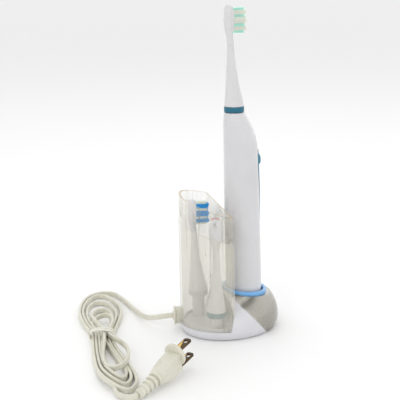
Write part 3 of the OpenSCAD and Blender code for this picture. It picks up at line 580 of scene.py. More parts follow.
def soften(piece, width, segments=2, angle=35):
    return modify(piece, "BEVEL", width=width * mm, segments=segments, limit_method="ANGLE",
                  angle_limit=math.radians(angle), use_clamp_overlap=True)


def cut(piece, cutter, how="DIFFERENCE"):
    modify(piece, "BOOLEAN", object=cutter, operation=how, solver="EXACT")
    bpy.data.objects.remove(cutter)
    return piece


def join(pieces):
    activate(pieces[0])
    for piece in pieces:
        piece.select_set(True)
    bpy.ops.object.join()
    return bpy.context.object


def ringLoft(sections, sides, caps=True):
    # a skin through level rings, each (height, centre x, half depth, half width) in mm
    clearSelection()
    z, x, a, b = sections[0]
    bpy.ops.mesh.primitive_circle_add(vertices=sides, radius=1, location=(x * mm, 0, z * mm))
    piece = bpy.context.object
    piece.scale = (a * mm, b * mm, 1)
    applyPlace(piece)
    bpy.ops.object.mode_set(mode="EDIT")
    bpy.ops.mesh.select_mode(type="VERT")
    bpy.ops.mesh.select_all(action="SELECT")
    for (z0, x0, a0, b0), (z1, x1, a1, b1) in zip(sections, sections[1:]):
        shift = ((x1 - x0) * mm, 0, (z1 - z0) * mm)
        bpy.ops.mesh.extrude_region_move(TRANSFORM_OT_translate={"value": shift})
        if (a0, b0) != (a1, b1):
            bpy.ops.transform.resize(value=(a1 / a0, b1 / b0, 1), center_override=(x1 * mm, 0, z1 * mm))
    if caps:
        bpy.ops.mesh.edge_face_add()
        bpy.ops.mesh.select_all(action="DESELECT")
        bpy.ops.object.mode_set(mode="OBJECT")
        for vertex in piece.data.vertices[:sides]:
            vertex.select = True
        bpy.ops.object.mode_set(mode="EDIT")
        bpy.ops.mesh.edge_face_add()
    return tidyNormals(piece)


def tidyNormals(piece):
    activate(piece)
    bpy.ops.object.mode_set(mode="EDIT")
    bpy.ops.mesh.select_mode(type="VERT")
    bpy.ops.mesh.select_all(action="SELECT")
    bpy.ops.mesh.remove_doubles(threshold=0.000002)
    bpy.ops.mesh.normals_make_consistent(inside=False)
    bpy.ops.object.mode_set(mode="OBJECT")
    return piece


def lathe(profile, sides):
    # a closed ring: its profile is (radius, height) points in mm, run round Z
    piece = ringLoft([(z, 0, r, r) for r, z in profile], sides, caps=False)
    bpy.ops.object.mode_set(mode="EDIT")
    bpy.ops.mesh.select_all(action="DESELECT")
    bpy.ops.object.mode_set(mode="OBJECT")
    for vertex in piece.data.vertices:
        vertex.select = vertex.index < sides or vertex.index >= len(piece.data.vertices) - sides
    bpy.ops.object.mode_set(mode="EDIT")
    bpy.ops.mesh.bridge_edge_loops()
    return tidyNormals(piece)


def slotPrism(width, height, depth, sides=48):
    # a flat shape with round ends, upright in the YZ plane, drawn out along +X from the origin
    clearSelection()
    bpy.ops.mesh.primitive_circle_add(vertices=sides, radius=width / 2 * mm, fill_type="NGON",
                                      rotation=(math.pi / 2, 0, math.pi / 2))
    piece = applyPlace(bpy.context.object)
    for vertex in piece.data.vertices:
        vertex.select = vertex.co.z > 0
    bpy.ops.object.mode_set(mode="EDIT")
    bpy.ops.mesh.select_mode(type="VERT")
    bpy.ops.transform.translate(value=(0, 0, (height - width) / 2 * mm))
    bpy.ops.mesh.select_all(action="INVERT")
    bpy.ops.transform.translate(value=(0, 0, (width - height) / 2 * mm))
    bpy.ops.mesh.select_all(action="SELECT")
    bpy.ops.mesh.extrude_region_move(TRANSFORM_OT_translate={"value": (depth * mm, 0, 0)})
    return tidyNormals(piece)


def block(low, high):
    clearSelection()
    middle = [(a + b) / 2 * mm for a, b in zip(low, high)]
    bpy.ops.mesh.primitive_cube_add(size=1, location=middle)
    piece = bpy.context.object
    piece.scale = [(b - a) * mm for a, b in zip(low, high)]
    return applyPlace(piece)


def rod(radius, low, high, x=0.0, y=0.0, sides=96):
    clearSelection()
    bpy.ops.mesh.primitive_cylinder_add(vertices=sides, radius=radius * mm, depth=(high - low) * mm,
                                        location=(x * mm, y * mm, (low + high) / 2 * mm))
    return applyPlace(bpy.context.object)


def sidePrism(outline):
    # an outline of (x, z) points in mm, drawn out 200 mm along Y: only ever used to cut with
    clearSelection()
    shape = bmesh.new()
    near = [shape.verts.new((x * mm, -0.1, z * mm)) for x, z in outline]
    far = [shape.verts.new((x * mm, 0.1, z * mm)) for x, z in outline]
    shape.faces.new(near)
    shape.faces.new(far[::-1])
    for i in range(len(outline)):
        j = (i + 1) % len(outline)
        shape.faces.new((near[j], near[i], far[i], far[j]))
    data = bpy.data.meshes.new("cutter")
    shape.to_mesh(data)
    shape.free()
    piece = bpy.data.objects.new("cutter", data)
    bpy.context.scene.collection.objects.link(piece)
    return tidyNormals(piece)


def place(piece, matrix):
    piece.data.transform(matrix)
    return piece


def finishPiece(piece, name, finish, body, replaced=(), angle=32):
    # name, smooth and dress a piece, and say what it rides on and stands for
    activate(piece)
    bpy.ops.object.shade_smooth_by_angle(angle=math.radians(angle))
    piece.name = name
    piece.data.name = name
    piece.data.materials.clear()
    piece.data.materials.append(finish)
    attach(piece, body)
    if replaced:
        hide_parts(*replaced)
    return piece


def cadCopy(node):
    # a CAD node's mesh as a piece of its own, with its triangles merged
    clearSelection()
    piece = bpy.data.objects.new(node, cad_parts[node].data.copy())
    bpy.context.scene.collection.objects.link(piece)
    activate(piece)
    bpy.ops.object.mode_set(mode="EDIT")
    bpy.ops.mesh.select_all(action="SELECT")
    bpy.ops.mesh.remove_doubles(threshold=0.000002)
    bpy.ops.mesh.dissolve_limited(angle_limit=math.radians(0.5))
    bpy.ops.object.mode_set(mode="OBJECT")
    return piece


def middle(node):
    low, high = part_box(node)
    return [(a + b) / 2 for a, b in zip(low, high)]


print("floor laid")


# handle
handleX = middle("end_cap")[0] / mm
neckX = middle("head_ring")[0] / mm
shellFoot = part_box("handle_shell")[0][2] / mm
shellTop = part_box("handle_shell")[1][2] / mm
handleSet = {
    # height below the top (or above the foot where positive), shift of the centre, radius
    "foot": [(0, 0, 14.85), (0.3, 0, 15), (15, 0, 15), (41, -0.5, 14.85)],
    "upper": [(-81, -1.15, 14.65), (-56, -1.45, 14.35), (-33, -1.9, 14), (-24, -2.3, 13.7), (-17.5, -3.3, 12.7),
              (-10, -4.88, 11.3), (-7.4, -5.6, 10.5), (-7.1, -5.68, 10.22), (-6.8, -5.76, 10.32),
              (-4.6, -6.36, 9.6), (-3.3, -6.68, 9.22), (-3.0, -6.75, 8.95), (-2.7, -6.82, 9.05),
              (-0.25, -7.36, 8.35), (0, -7.4, 8.1), (0, -7.4, 4.62)],
    "wall": 2.2,
    "button": {"width": 9, "height": 16, "gap": 0.5, "down": 43},
    "skin": 0.5,
}


def handleSections(spec, grow):
    rows = [(shellFoot + up, handleX + shift, r + grow) for up, shift, r in spec["foot"]]
    rows += [(shellTop + down, handleX + shift, r + grow) for down, shift, r in spec["upper"]]
    return [(z, x, r, r) for z, x, r in rows]


buttonZ = shellTop - handleSet["button"]["down"]


def buttonRoom(gap):
    spec = handleSet["button"]
    room = slotPrism(spec["width"] + 2 * gap, spec["height"] + 2 * gap, 20)
    return place(room, Matrix.Translation(((handleX + 5) * mm, 0, buttonZ * mm)))


def makeHandle(spec):
    shell = subdivide(ringLoft(handleSections(spec, 0), 40, caps=False), 2)
    modify(shell, "SOLIDIFY", thickness=spec["wall"] * mm, offset=-1, use_even_offset=True)
    cut(shell, buttonRoom(spec["button"]["gap"]))
    finishPiece(shell, "handleShell", finishes["whiteHandle"], "handle", ["handle_shell"])


def panelOutline():
    # the blue grip panel: round over the button, running out to a point below
    spec = handleSet["button"]
    crown = spec["width"] / 2 + 2.6
    crownZ = spec["height"] / 2 - 2.4
    right = [(crown * math.cos(math.radians(a)), crownZ + crown * math.sin(math.radians(a)))
             for a in range(90, -1, -6)]
    right += [(crown + 0.5, 0), (crown, -8), (crown - 2, -20), (crown - 3.9, -36), (1.9, -52), (0.8, -70)]
    return right + [(-y, z) for y, z in right[:0:-1]]


def makeGripPanel(spec):
    panel = subdivide(ringLoft(handleSections(spec, spec["skin"]), 40, caps=False), 2)
    modify(panel, "SOLIDIFY", thickness=(spec["skin"] - 0.03) * mm, offset=-1, use_even_offset=True)
    outline = sidePrism([(y, z) for y, z in panelOutline()])
    # the prism is drawn out along Y, so it is turned to look out of the front
    place(outline, Matrix.Translation(((handleX + 103) * mm, 0, buttonZ * mm)) @ Matrix.Rotation(math.pi / 2, 4, "Z"))
    cut(panel, outline, "INTERSECT")
    cut(panel, buttonRoom(spec["button"]["gap"]))
    finishPiece(panel, "gripPanel", finishes["gripTeal"], "handle", ["grip_panel"])


def makeButton(spec):
    # a dished key with a raised rim and a small round boss to find by touch
    low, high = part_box("power_button")
    depth = (high[0] - low[0]) / mm
    key = slotPrism(spec["width"], spec["height"], depth)
    activate(key)
    bpy.ops.object.mode_set(mode="EDIT")
    bpy.ops.mesh.select_mode(type="FACE")
    bpy.ops.mesh.select_all(action="DESELECT")
    bpy.ops.object.mode_set(mode="OBJECT")
    for face in key.data.polygons:
        face.select = face.normal.x > 0.9
    bpy.ops.object.mode_set(mode="EDIT")
    bpy.ops.mesh.inset(thickness=0.9 * mm)
    bpy.ops.mesh.inset(thickness=0.5 * mm, depth=-0.45 * mm)
    bpy.ops.object.mode_set(mode="OBJECT")
    soften(key, 0.25, 3)
    boss = place(slotPrism(2.4, 2.4, 0.4, 24), Matrix.Translation(((depth - 0.5) * mm, 0, 0)))
    key = join([key, boss])
    place(key, Matrix.Translation((low[0], 0, buttonZ * mm)))
    finishPiece(key, "powerButton", finishes["gripTeal"], "button", ["power_button"])


def makeCollar():
    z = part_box("neck_collar")[1][2] / mm
    collar = lathe([(2.1, z - 6.5), (4.4, z - 6.5), (4.5, z - 6.3), (4.5, z - 0.4), (4.1, z), (2.9, z),
                    (2.1, z - 0.7)], 64)
    place(collar, Matrix.Translation((neckX * mm, 0, 0)))
    finishPiece(collar, "neckCollar", finishes["whiteHandle"], "handle", ["neck_collar"])


makeHandle(handleSet)
makeGripPanel(handleSet)
makeButton(handleSet["button"])
makeCollar()
print("handle made")


# brush heads
headSet = {
    "length": 83, "ringR": 8.1, "ringH": 4.4, "ringWall": 1.3,
    # height, centre, half depth, half width, up to the neck
    "lower": [(0, 0, 6.75, 6.75), (4.35, 0, 6.75, 6.75), (4.4, 0, 7.9, 7.9), (4.7, 0, 8.08, 8.08),
              (6.5, -0.1, 7.8, 7.6), (10, -0.3, 7.2, 7), (17, -0.9, 6, 5.8), (25, -1.5, 5, 4.7),
              (35, -2.1, 3.9, 3.8), (46, -2.5, 3, 3)],
    # the same, measured down from the tip
    "upper": [(-27, -2.8, 2.6, 2.6), (-23, -3.4, 2.7, 3), (-20, -4.1, 2.8, 4), (-17, -4.4, 3.1, 5),
              (-13.5, -4.4, 3.2, 5.6), (-9.5, -4.4, 3.2, 5.8), (-5.5, -4.4, 3.2, 5.4), (-2.6, -4.4, 3.1, 4.4),
              (-0.9, -4.4, 2.8, 3), (0, -4.4, 2, 1.4)],
    "rows": 11, "pitch": 1.73, "fieldW": 8.4, "fieldMid": -11.7, "faceX": -1.25, "bristle": 10,
    "colourRows": (0, 3, 7, 10),
    "filament": 0.125, "spacing": 0.40,
}


def makeStem(spec, boreR, boreL, ribs):
    sections = spec["lower"] + [(spec["length"] + up, *rest) for up, *rest in spec["upper"]]
    stem = subdivide(ringLoft(sections, 28), 2)
    # the plate that the tufts stand in
    plate = rod(1, 0, 2.2, sides=64)
    plate.scale = (spec["length"] * 0.128, spec["fieldW"] / 2 + 0.75, 1)
    plate = soften(applyPlace(plate), 0.25, 2)
    turn = Matrix.Rotation(math.pi / 2, 4, "Y")
    plateZ = (spec["length"] + spec["fieldMid"]) * mm
    place(plate, Matrix.Translation(((spec["faceX"] - 1.95) * mm, 0, plateZ)) @ turn)
    cut(stem, rod(boreR, -1, boreL, sides=48))
    parts = [stem, plate]
    if ribs:
        # two short ribbed bars moulded on the stem's foot
        for side in (-1, 1):
            bar = block((-1.3, side * 6.6 - 0.9, 5), (1.3, side * 6.6 + 0.9, 17))
            parts.append(soften(bar, 0.4, 2))
            for k in range(5):
                step = block((-1.7, side * 6.7 - 1.2, 6 + 2.3 * k), (1.7, side * 6.7 + 1.2, 7 + 2.3 * k))
                parts.append(soften(step, 0.25, 2))
    return join(parts)


def makeTuft(spec, dice):
    # 19 filaments, each bent out a little towards its tip
    shape = bmesh.new()
    spots = [(0, 0)]
    for count, radius in ((6, 1), (12, 1.93)):
        spots += [(radius * math.cos(2 * math.pi * k / count), radius * math.sin(2 * math.pi * k / count))
                  for k in range(count)]
    sides, r = 5, spec["filament"] * mm
    for u, v in spots:
        splay = 1.0 + dice.uniform(0.1, 0.34)
        tall = (spec["bristle"] + dice.uniform(-0.45, 0.15)) * mm
        y0, z0 = u * spec["spacing"] * mm, v * spec["spacing"] * mm
        levels = [(-0.4 * mm, 1.0, r), (0.55 * tall, 1 + (splay - 1) * 0.35, r), (tall - 0.12 * mm, splay, r * 0.96),
                  (tall, splay, r * 0.45)]
        rings = []
        for x, spread, size in levels:
            rings.append([shape.verts.new((x, y0 * spread + size * math.cos(2 * math.pi * k / sides),
                                           z0 * spread + size * math.sin(2 * math.pi * k / sides)))
                          for k in range(sides)])
        for low, high in zip(rings, rings[1:]):
            for k in range(sides):
                j = (k + 1) % sides
                shape.faces.new((low[k], low[j], high[j], high[k]))
        shape.faces.new(rings[-1])
        shape.faces.new(rings[0][::-1])
    bmesh.ops.recalc_face_normals(shape, faces=shape.faces[:])
    data = bpy.data.meshes.new("tuft")
    shape.to_mesh(data)
    shape.free()
    return data


def tuftPlaces(spec, colourSet):
    # set 0 has the coloured rows, set 1 the white ones, which stand out further in waves
    rows, pitch = spec["rows"], spec["pitch"]
    places = []
    for i in range(rows):
        up = (i - (rows - 1) / 2) * pitch
        half = spec["fieldW"] / 2 * math.sqrt(1 - (up / (rows * pitch / 2 + 1.0)) ** 2)
        across = max(2, int(2 * half / 2.1) + 1)
        if colourSet == (0 if i in spec["colourRows"] else 1):
            wave = 0.2 if colourSet == 0 else 1.3 + 0.8 * (i % 2)
            for j in range(across):
                side = (-half + 2 * half * j / (across - 1)) * 0.86
                places.append((side, spec["length"] + spec["fieldMid"] + up, wave))
    return places


def makeTufts(spec, colourSet, seed):
    dice = random.Random(seed)
    kinds = [makeTuft(spec, dice) for k in range(3)]
    shape = bmesh.new()
    for n, (y, z, wave) in enumerate(tuftPlaces(spec, colourSet)):
        start = len(shape.verts)
        shape.from_mesh(kinds[n % len(kinds)])
        shape.verts.ensure_lookup_table()
        reach = (spec["bristle"] - 0.9 + wave) / spec["bristle"]
        move = (Matrix.Translation((spec["faceX"] * mm, y * mm, z * mm))
                @ Matrix.Rotation(dice.uniform(0, 6.28), 4, "X")
                @ Matrix.Rotation(dice.uniform(-0.04, 0.04), 4, "Y")
                @ Matrix.Diagonal((reach, 1, 1, 1)))
        bmesh.ops.transform(shape, matrix=move, verts=shape.verts[start:])
    data = bpy.data.meshes.new("tufts")
    shape.to_mesh(data)
    shape.free()
    for kind in kinds:
        bpy.data.meshes.remove(kind)
    piece = bpy.data.objects.new("tufts", data)
    bpy.context.scene.collection.objects.link(piece)
    return piece


def makeColourRing(spec):
    r, h, wall = spec["ringR"], spec["ringH"] - 0.05, spec["ringWall"]
    return lathe([(r - wall, 0), (r - 0.4, 0), (r - 0.1, 0.12), (r, 0.4), (r, h - 0.4), (r - 0.1, h - 0.12),
                  (r - 0.35, h), (r - wall, h)], 96)


# node prefix, body, turn, bore radius and depth, stem and ring finishes and slots, then the two sets of tufts
heads = [
    ("head", "brush_head", 0, (1.66, 16.6), "whiteStem", ("tealRing", "ring_teal"), False,
     [("mint", "mintFilament", "bristle_mint", 0), ("white", "whiteFilament", "bristle_white", 1)]),
    ("spare_a", "spare_head_a", 72, (3.35, 12.4), "spareStem", ("paleTealRing", "ring_teal_pale"), False,
     [("red", "redFilament", "bristle_red", 0), ("white", "whiteFilament", "bristle_white", 1)]),
    ("spare_b", "spare_head_b", -10, (3.35, 12.4), "spareStem", ("paleRing", "ring_pale"), True,
     [("blue", "blueFilament", "bristle_blue", 1), ("white", "whiteFilament", "bristle_white", 0)]),
]


def makeHead(spec, prefix, body, turn, bore, stemFinish, ring, ribs, tuftSets):
    centre = middle(prefix + "_ring")
    centre[2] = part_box(prefix + "_ring")[0][2]
    home = Matrix.Translation(centre) @ Matrix.Rotation(math.radians(turn), 4, "Z")
    stem = place(makeStem(spec, *bore, ribs), home)
    finishPiece(stem, prefix + "Stem", finishes[stemFinish], body, [prefix + "_stem"], 40)
    band = place(makeColourRing(spec), home)
    finishPiece(band, prefix + "Ring", finishes[ring[0]], body, [prefix + "_ring"])
    for seed, (colour, finish, slotName, colourSet) in enumerate(tuftSets):
        tufts = place(makeTufts(spec, colourSet, seed + 11), home)
        finishPiece(tufts, prefix + "Bristles_" + colour, finishes[finish], body,
                    [prefix + "_bristles_" + colour], 60)


for row in heads:
    makeHead(headSet, *row)
print("brush heads made")


# charger
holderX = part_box("holder_cover")[1][0] / mm
holderSet = {"frontZ": 103.6, "rise": 14.4, "turn": 20, "lip": 22, "halfL": 41.3, "halfW": 33.3}
baseSet = {
    "length": 85, "width": 69, "rimZ": 9, "domeZ": 33.6, "ringR": 19, "tuck": 3.8, "wall": 2.4, "foot": 0.8,
    "deck": 8, "cutBack": 3.4, "cutTop": 21, "drumR": 22.2, "cupR": 18,
    "splitZ": 28, "splitSlope": 1.12,
    "socketZ": 31.6, "socketTilt": 6, "socketR": 16.2, "ringWall": 2.8, "ringH": 2.8,
}


def baseSection(spec, z, inset):
    # the outline leans in from the widest line up to the socket ring, and tucks in below it
    blend = max(0, (z - spec["rimZ"]) / (spec["domeZ"] - spec["rimZ"])) ** 2.2
    tuck = spec["tuck"] * max(0, (spec["rimZ"] - z) / spec["rimZ"]) ** 2
    half = [side / 2 * (1 - blend) + spec["ringR"] * blend - inset - tuck for side in (spec["length"], spec["width"])]
    return (z, handleX * blend, *half)


def baseForm(spec, inset, foot):
    levels = [foot, foot + 0.5, foot + 1.2, 2.8, 4.4, 6.2, 7.6]
    levels += [spec["rimZ"] + (spec["domeZ"] - spec["rimZ"]) * i / 16 for i in range(17)]
    return ringLoft([baseSection(spec, z, inset) for z in levels], 112)


def holderRoom(spec, wall):
    # the back of the charger that the holder stands over, save for the drum round the socket
    room = sidePrism([(-95, spec["deck"] - wall), (holderX - spec["cutBack"] + wall, spec["deck"] - wall),
                      (holderX + wall, spec["cutTop"]), (holderX + wall, 90), (-95, 90)])
    return cut(room, rod(spec["drumR"] - wall, -5, 95, handleX, sides=128))


def aboveSocket(spec, up):
    room = block((-60, -60, 0), (60, 60, 60))
    tilt = Matrix.Rotation(math.radians(spec["socketTilt"]), 4, "Y")
    return place(room, Matrix.Translation((handleX * mm, 0, (spec["socketZ"] + up) * mm)) @ tilt)


glandSet = {"turn": 167, "in": 38.6, "out": 46.4, "width": 9, "low": 6, "high": 18}


def glandBlock(spec, gap):
    piece = block((spec["in"], -spec["width"] / 2 - gap, spec["low"] - gap),
                  (spec["out"] - 1.5, spec["width"] / 2 + gap, spec["high"] + gap))
    return piece


def baseHollow(spec):
    hollow = baseForm(spec, spec["wall"], -1)
    cut(hollow, holderRoom(spec, spec["wall"]))
    return cut(hollow, aboveSocket(spec, -spec["wall"]))


def baseHalf(spec, side):
    # side 1 keeps what lies above the parting slope, -1 what lies below
    half = baseForm(spec, 0, spec["foot"])
    cut(half, holderRoom(spec, 0))
    cut(half, baseHollow(spec))
    cut(half, aboveSocket(spec, 0))
    cut(half, rod(spec["cupR"], spec["deck"] + 4, 95, handleX, sides=128))
    z, slope = spec["splitZ"] + (0.06 if side > 0 else 0), spec["splitSlope"]
    line = [(-60, z + 60 * slope), (80, z - 80 * slope)]
    far = [(-60, z - 80 * slope)] if side > 0 else [(80, 150), (-60, 150)]
    return cut(half, sidePrism(line + far))


def ledge(spec):
    # a low ridge on the deck that the holder fits round
    deck = spec["deck"]
    outline = [(2.15, -0.1), (2.15, 1.7), (2.4, 2), (3.3, 2), (3.55, 1.7), (3.55, -0.1)]    # inset, height
    ridge = ringLoft([(deck + up, 0, holderSet["halfL"] - inset, holderSet["halfW"] - inset)
                      for inset, up in outline], 112, caps=False)
    bpy.ops.object.mode_set(mode="EDIT")
    bpy.ops.mesh.select_all(action="DESELECT")
    bpy.ops.object.mode_set(mode="OBJECT")
    for vertex in ridge.data.vertices:
        vertex.select = vertex.co.z < (deck - 0.05) * mm
    bpy.ops.object.mode_set(mode="EDIT")
    bpy.ops.mesh.bridge_edge_loops()
    tidyNormals(ridge)
    front = holderX - spec["cutBack"] - 5
    cut(ridge, block((front, -60, 0), (90, 60, 40)))
    room = place(glandBlock(glandSet, 0.4), Matrix.Rotation(math.radians(glandSet["turn"]), 4, "Z"))
    return cut(ridge, room)


def makeBase(spec):
    shell = baseHalf(spec, -1)
    room = place(glandBlock(glandSet, 0), Matrix.Rotation(math.radians(glandSet["turn"]), 4, "Z"))
    cut(shell, room)
    shell = join([shell, ledge(spec)])
    finishPiece(shell, "baseShell", finishes["whiteShell"], "charger", ["base_shell"])
    dome = baseHalf(spec, 1)
    finishPiece(dome, "domeCover", finishes["silverDome"], "charger", ["dome_cover"])


def makeSocketRing(spec):
    r, out, h = spec["socketR"], spec["socketR"] + spec["ringWall"], spec["ringH"]
    ring = lathe([(r, 0), (out, 0), (out, h - 0.8), (out - 0.12, h - 0.4), (out - 0.4, h - 0.12), (out - 0.8, h),
                  (r + 0.8, h), (r + 0.4, h - 0.12), (r + 0.12, h - 0.4), (r, h - 0.8)], 128)
    tilt = Matrix.Rotation(math.radians(spec["socketTilt"]), 4, "Y")
    place(ring, Matrix.Translation((handleX * mm, 0, spec["socketZ"] * mm)) @ tilt)
    finishPiece(ring, "socketRing", finishes["skyRing"], "charger", ["socket_ring"])


def makeGland(spec):
    # a block with two ribs and a lip, for the flat cord
    half, low, high, out = spec["width"] / 2, spec["low"], spec["high"], spec["out"]
    parts = [soften(glandBlock(spec, 0), 0.7, 3),
             soften(block((out - 1.5, -half - 0.8, low - 0.6), (out, half + 0.8, high + 0.6)), 0.6, 3)]
    for x in (out - 4.4, out - 2.9):
        parts.append(soften(block((x, -half - 0.35, low - 0.3), (x + 0.7, half + 0.35, high + 0.3)), 0.3, 2))
    sleeve = soften(block((out - 1, -2.1, 8.4), (out + 0.9, 2.1, 15.6)), 0.5, 3)
    gland = place(join(parts + [sleeve]), Matrix.Rotation(math.radians(spec["turn"]), 4, "Z"))
    finishPiece(gland, "cordGland", finishes["creamVinyl"], "charger", ["cord_gland"])


def makePegs():
    finishPiece(cadCopy("head_pegs"), "headPegs", finishes["whiteShell"], "charger", ["head_pegs"])


makeBase(baseSet)
makeSocketRing(baseSet)
makeGland(glandSet)
makePegs()
print("charger made")


# clear holder
clearSet = {
    "tone": (0.74, 0.72, 0.62), "shade": (0.68, 0.66, 0.56), "rimTone": (0.50, 0.40, 0.25),
    "lipCover": 0.08, "wallCover": 0.25,   # how much of what lies behind one skin is hidden
    "edgeCover": 0.75,                     # the same where the skin is seen along its length
    "rough": 0.16,
}


def stepPlane(spec):
    # the slope of the step under the rim: its direction, and how far along it the step lies
    turn = math.radians(spec["turn"])
    halfFront = spec["halfW"] * math.sqrt(1 - (holderX / spec["halfL"]) ** 2)
    front = holderX * math.cos(turn) + halfFront * math.sin(turn)
    back = -math.hypot(spec["halfL"] * math.cos(turn), spec["halfW"] * math.sin(turn))
    steep = spec["rise"] / (front - back)
    normal = (steep * math.cos(turn), -steep * math.sin(turn), 1)
    return normal, (spec["frontZ"] - spec["lip"] + steep * front) * mm


def makeClearFinish(spec, normal, at):
    # see-through plastic: clear above the step under the rim, milky and scuffed below it
    material, tree, shader = newMaterial("clearHolder")
    along = tree.nodes.new("ShaderNodeVectorMath")
    along.operation = "DOT_PRODUCT"
    along.inputs[1].default_value = normal
    tree.links.new(tree.nodes.new("ShaderNodeTexCoord").outputs["Object"], along.inputs[0])
    cover = rangeNode(tree, along.outputs["Value"], at - 0.8 * mm, at, spec["wallCover"], spec["lipCover"])
    scuffs = placeEffect(tree, "dryMarks", Amount=0.10, Scale=260.0)
    cover = mathNode(tree, "ADD", cover, scuffs.outputs["Mask"])
    grazing = tree.nodes.new("ShaderNodeLayerWeight")
    grazing.inputs["Blend"].default_value = 0.18
    edge = mathNode(tree, "MULTIPLY", grazing.outputs["Facing"], spec["edgeCover"])
    tree.links.new(mathNode(tree, "MAXIMUM", cover, edge, True), shader.inputs["Alpha"])
    skin = placeEffect(tree, "mouldedSkin", Tone=withAlpha(spec["tone"]), Shade=withAlpha(spec["shade"]),
                       Clouding=0.8, Roughness=spec["rough"], Spread=0.1)
    tree.links.new(skin.outputs["Color"], shader.inputs["Base Color"])
    tree.links.new(skin.outputs["Roughness"], shader.inputs["Roughness"])
    return material


def makeHolder(spec):
    holder = cadCopy("holder_cover")
    normal, at = stepPlane(spec)
    finishPiece(holder, "holderCover", makeClearFinish(clearSet, normal, at), "holder",
                ["holder_cover"])
    rim = makeFinish("rimEdge", {"tone": clearSet["rimTone"], "shade": (0.48, 0.37, 0.22), "rough": 0.3})
    holder.data.materials.append(rim)
    for face in holder.data.polygons:
        if face.normal.z > 0.6 and Vector(normal).dot(face.center) > at + 8 * mm:
            face.material_index = 1


makeHolder(holderSet)
print("holder made")


# tie and plug
tieSet = {"halfW": 10.3, "top": 10.6, "bottom": 0.5, "wraps": ((-1.65, 2.8, -4), (1.6, 2.8, 3)), "thick": 0.8}


def makeTie(spec):
    wraps = []
    mid, half = (spec["top"] + spec["bottom"]) / 2, (spec["top"] - spec["bottom"]) / 2
    for along, width, skew in spec["wraps"]:
        clearSelection()
        bpy.ops.mesh.primitive_circle_add(vertices=48, radius=1, rotation=(math.pi / 2, 0, 0))
        wrap = applyPlace(bpy.context.object)
        for vertex in wrap.data.vertices:
            x, z = vertex.co.x, vertex.co.z
            bulge = 0.62 if z < 0 else 0.8
            vertex.co.x = math.copysign(abs(x) ** bulge, x) * spec["halfW"] * mm
            vertex.co.z = (mid + math.copysign(abs(z) ** 0.8, z) * half) * mm
            vertex.co.y = (along - width / 2) * mm
        bpy.ops.object.mode_set(mode="EDIT")
        bpy.ops.mesh.select_all(action="SELECT")
        for share in (0.5, 0.5):
            bpy.ops.mesh.extrude_region_move(TRANSFORM_OT_translate={"value": (0, share * width * mm, 0)})
        bpy.ops.object.mode_set(mode="OBJECT")
        tidyNormals(wrap)
        modify(wrap, "SOLIDIFY", thickness=spec["thick"] * mm, offset=0)
        soften(wrap, 0.3, 2)
        wraps.append(place(wrap, Matrix.Rotation(math.radians(skew), 4, "Z")))
    tie = join(wraps)
    x, y = cordSet["tie"]
    place(tie, Matrix.Translation((x * mm, y * mm, 0)) @ Matrix.Rotation(math.radians(cordSet["turn"]), 4, "Z"))
    finishPiece(tie, "cordTie", finishes["creamTie"], "charger", ["cord_tie"])


plugSet = {
    "at": (-105, -102.6, 4), "turn": 36, "tilt": 12.6,
    "relief": 22, "length": 46, "flange": (18, 27, 2.4),
    # half width and half height of the body along it
    "body": [(22, 4.8, 5), (26, 5.3, 6), (31, 5.7, 6.9), (37, 5.9, 7.4), (44, 6.1, 7.6)],
    # low ridges along each side of the body
    "ridges": [(26, 41.5, -3.6), (25, 42.5, 0), (26, 41.5, 3.6)],
    "bladeGap": 12.7, "bladeW": 6.35, "bladeT": 1.5, "bladeL": 17, "holeR": 1.6,
}


def atPlug(spec):
    turn = Matrix.Rotation(math.radians(spec["turn"]), 4, "Z")
    tilt = Matrix.Rotation(math.radians(-spec["tilt"]), 4, "Y")
    return Matrix.Translation([v * mm for v in spec["at"]]) @ turn @ tilt


def makeRelief(spec):
    # ribbed strain relief, thicker towards the plug
    rows = [(0, 2.9), (0.4, 3.2)]
    for i in range(5):
        x, r = 1 + 4.4 * i, 3.8 + 0.45 * i
        rows += [(x, 3.2), (x + 0.15, r - 0.3), (x + 0.45, r), (x + 2.15, r), (x + 2.45, r - 0.3), (x + 2.6, 3.2)]
    rows.append((spec["relief"] + 2, 3.2))
    relief = ringLoft([(x, 0, r, r) for x, r in rows], 48)
    return place(relief, Matrix.Rotation(math.pi / 2, 4, "Y"))


def pickFaces(piece, test):
    activate(piece)
    bpy.ops.object.mode_set(mode="EDIT")
    bpy.ops.mesh.select_mode(type="FACE")
    bpy.ops.mesh.select_all(action="DESELECT")
    bpy.ops.object.mode_set(mode="OBJECT")
    for face in piece.data.polygons:
        face.select = test(face)
    bpy.ops.object.mode_set(mode="EDIT")


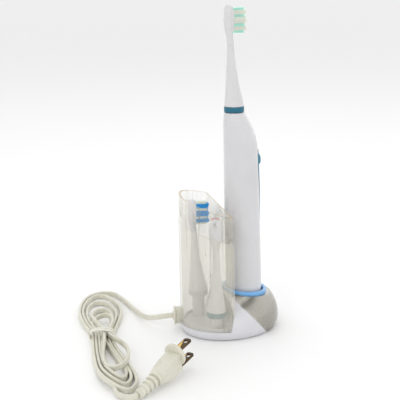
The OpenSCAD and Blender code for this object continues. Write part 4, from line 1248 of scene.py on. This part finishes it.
def makePlugBody(spec):
    (x0, y0, z0), *rest = spec["body"]
    body = block((x0 - 1, -y0, -z0), (x0, y0, z0))
    pickFaces(body, lambda face: face.normal.x > 0.9)
    for x1, y1, z1 in rest:
        bpy.ops.mesh.extrude_region_move(TRANSFORM_OT_translate={"value": ((x1 - x0) * mm, 0, 0)})
        bpy.ops.transform.resize(value=(1, y1 / y0, z1 / z0), center_override=(x1 * mm, 0, 0))
        x0, y0, z0 = x1, y1, z1
    bpy.ops.object.mode_set(mode="OBJECT")
    parts = [soften(body, 1.9, 4, 60)]
    for low, high, z in spec["ridges"]:
        ridge = block((low, -1, z - 0.55), (high, 1, z + 0.55))
        pickFaces(ridge, lambda face: face.normal.x < -0.9)
        bpy.ops.transform.resize(value=(1, 5.55, 1), center_override=(low * mm, 0, z * mm))
        pickFaces(ridge, lambda face: face.normal.x > 0.9)
        bpy.ops.transform.resize(value=(1, 6.45, 1), center_override=(high * mm, 0, z * mm))
        bpy.ops.object.mode_set(mode="OBJECT")
        parts.append(soften(ridge, 0.35, 2, 40))
    width, height, depth = spec["flange"]
    flange = soften(slotPrism(width, height, depth), 0.8, 3)
    place(flange, Matrix.Translation(((spec["length"] - depth) * mm, 0, 0)))
    plug = place(join(parts + [makeRelief(spec), flange]), atPlug(spec))
    finishPiece(plug, "plugBody", finishes["creamVinyl"], "charger", ["plug_body"])


def makeBlades(spec):
    blades = []
    half, thick, reach = spec["bladeW"] / 2, spec["bladeT"] / 2, spec["length"] + spec["bladeL"]
    for side in (-1, 1):
        blade = block((spec["length"] - 1, -half, -thick), (reach - 1.6, half, thick))
        pickFaces(blade, lambda face: face.normal.x > 0.9)
        bpy.ops.mesh.extrude_region_move(TRANSFORM_OT_translate={"value": (1.6 * mm, 0, 0)})
        bpy.ops.transform.resize(value=(1, 1 - 1.4 / half, 0.7), center_override=(reach * mm, 0, 0))
        bpy.ops.object.mode_set(mode="OBJECT")
        cut(blade, rod(spec["holeR"], -3, 3, reach - 4.2, 0, 40))
        soften(blade, 0.28, 2, 30)
        blades.append(place(blade, Matrix.Translation((0, 0, side * spec["bladeGap"] / 2 * mm))))
    blades = place(join(blades), atPlug(spec))
    finishPiece(blades, "plugBlades", finishes["bronzeBlade"], "charger", ["plug_blades"])


makeTie(tieSet)
makePlugBody(plugSet)
makeBlades(plugSet)
print("tie and plug made")


# the CAD nodes that stay as they are, with their finishes
nodeFinish = {
    # the socket cup takes painted shade, a dark navy for the shaded gap round the handle
    "socket_cup": "wellPaintedShade", "charging_post": "whiteShell", "post_core": "ferrite", "primary_coil": "windings",
    "charger_board": "boardGreen", "base_floor": "whiteShell", "base_screws": "steel", "rubber_feet": "footRubber",
    "end_cap": "whiteHandle", "end_cap_seal": "sealRubber", "charging_coil": "windings", "chassis": "innerGrey",
    "battery_cell": "cellGreen", "battery_contacts": "springGold", "control_board": "boardGreen",
    "button_switch": "magnet", "motor_case": "caseSteel", "motor_coil": "windings",
    "motor_bearings": "sinteredBronze", "shaft_seal": "sealRubber", "drive_shaft": "steel", "rotor_magnet": "magnet",
}
for node, finish in nodeFinish.items():
    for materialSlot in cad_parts[node].material_slots:
        materialSlot.material = finishes[finish]
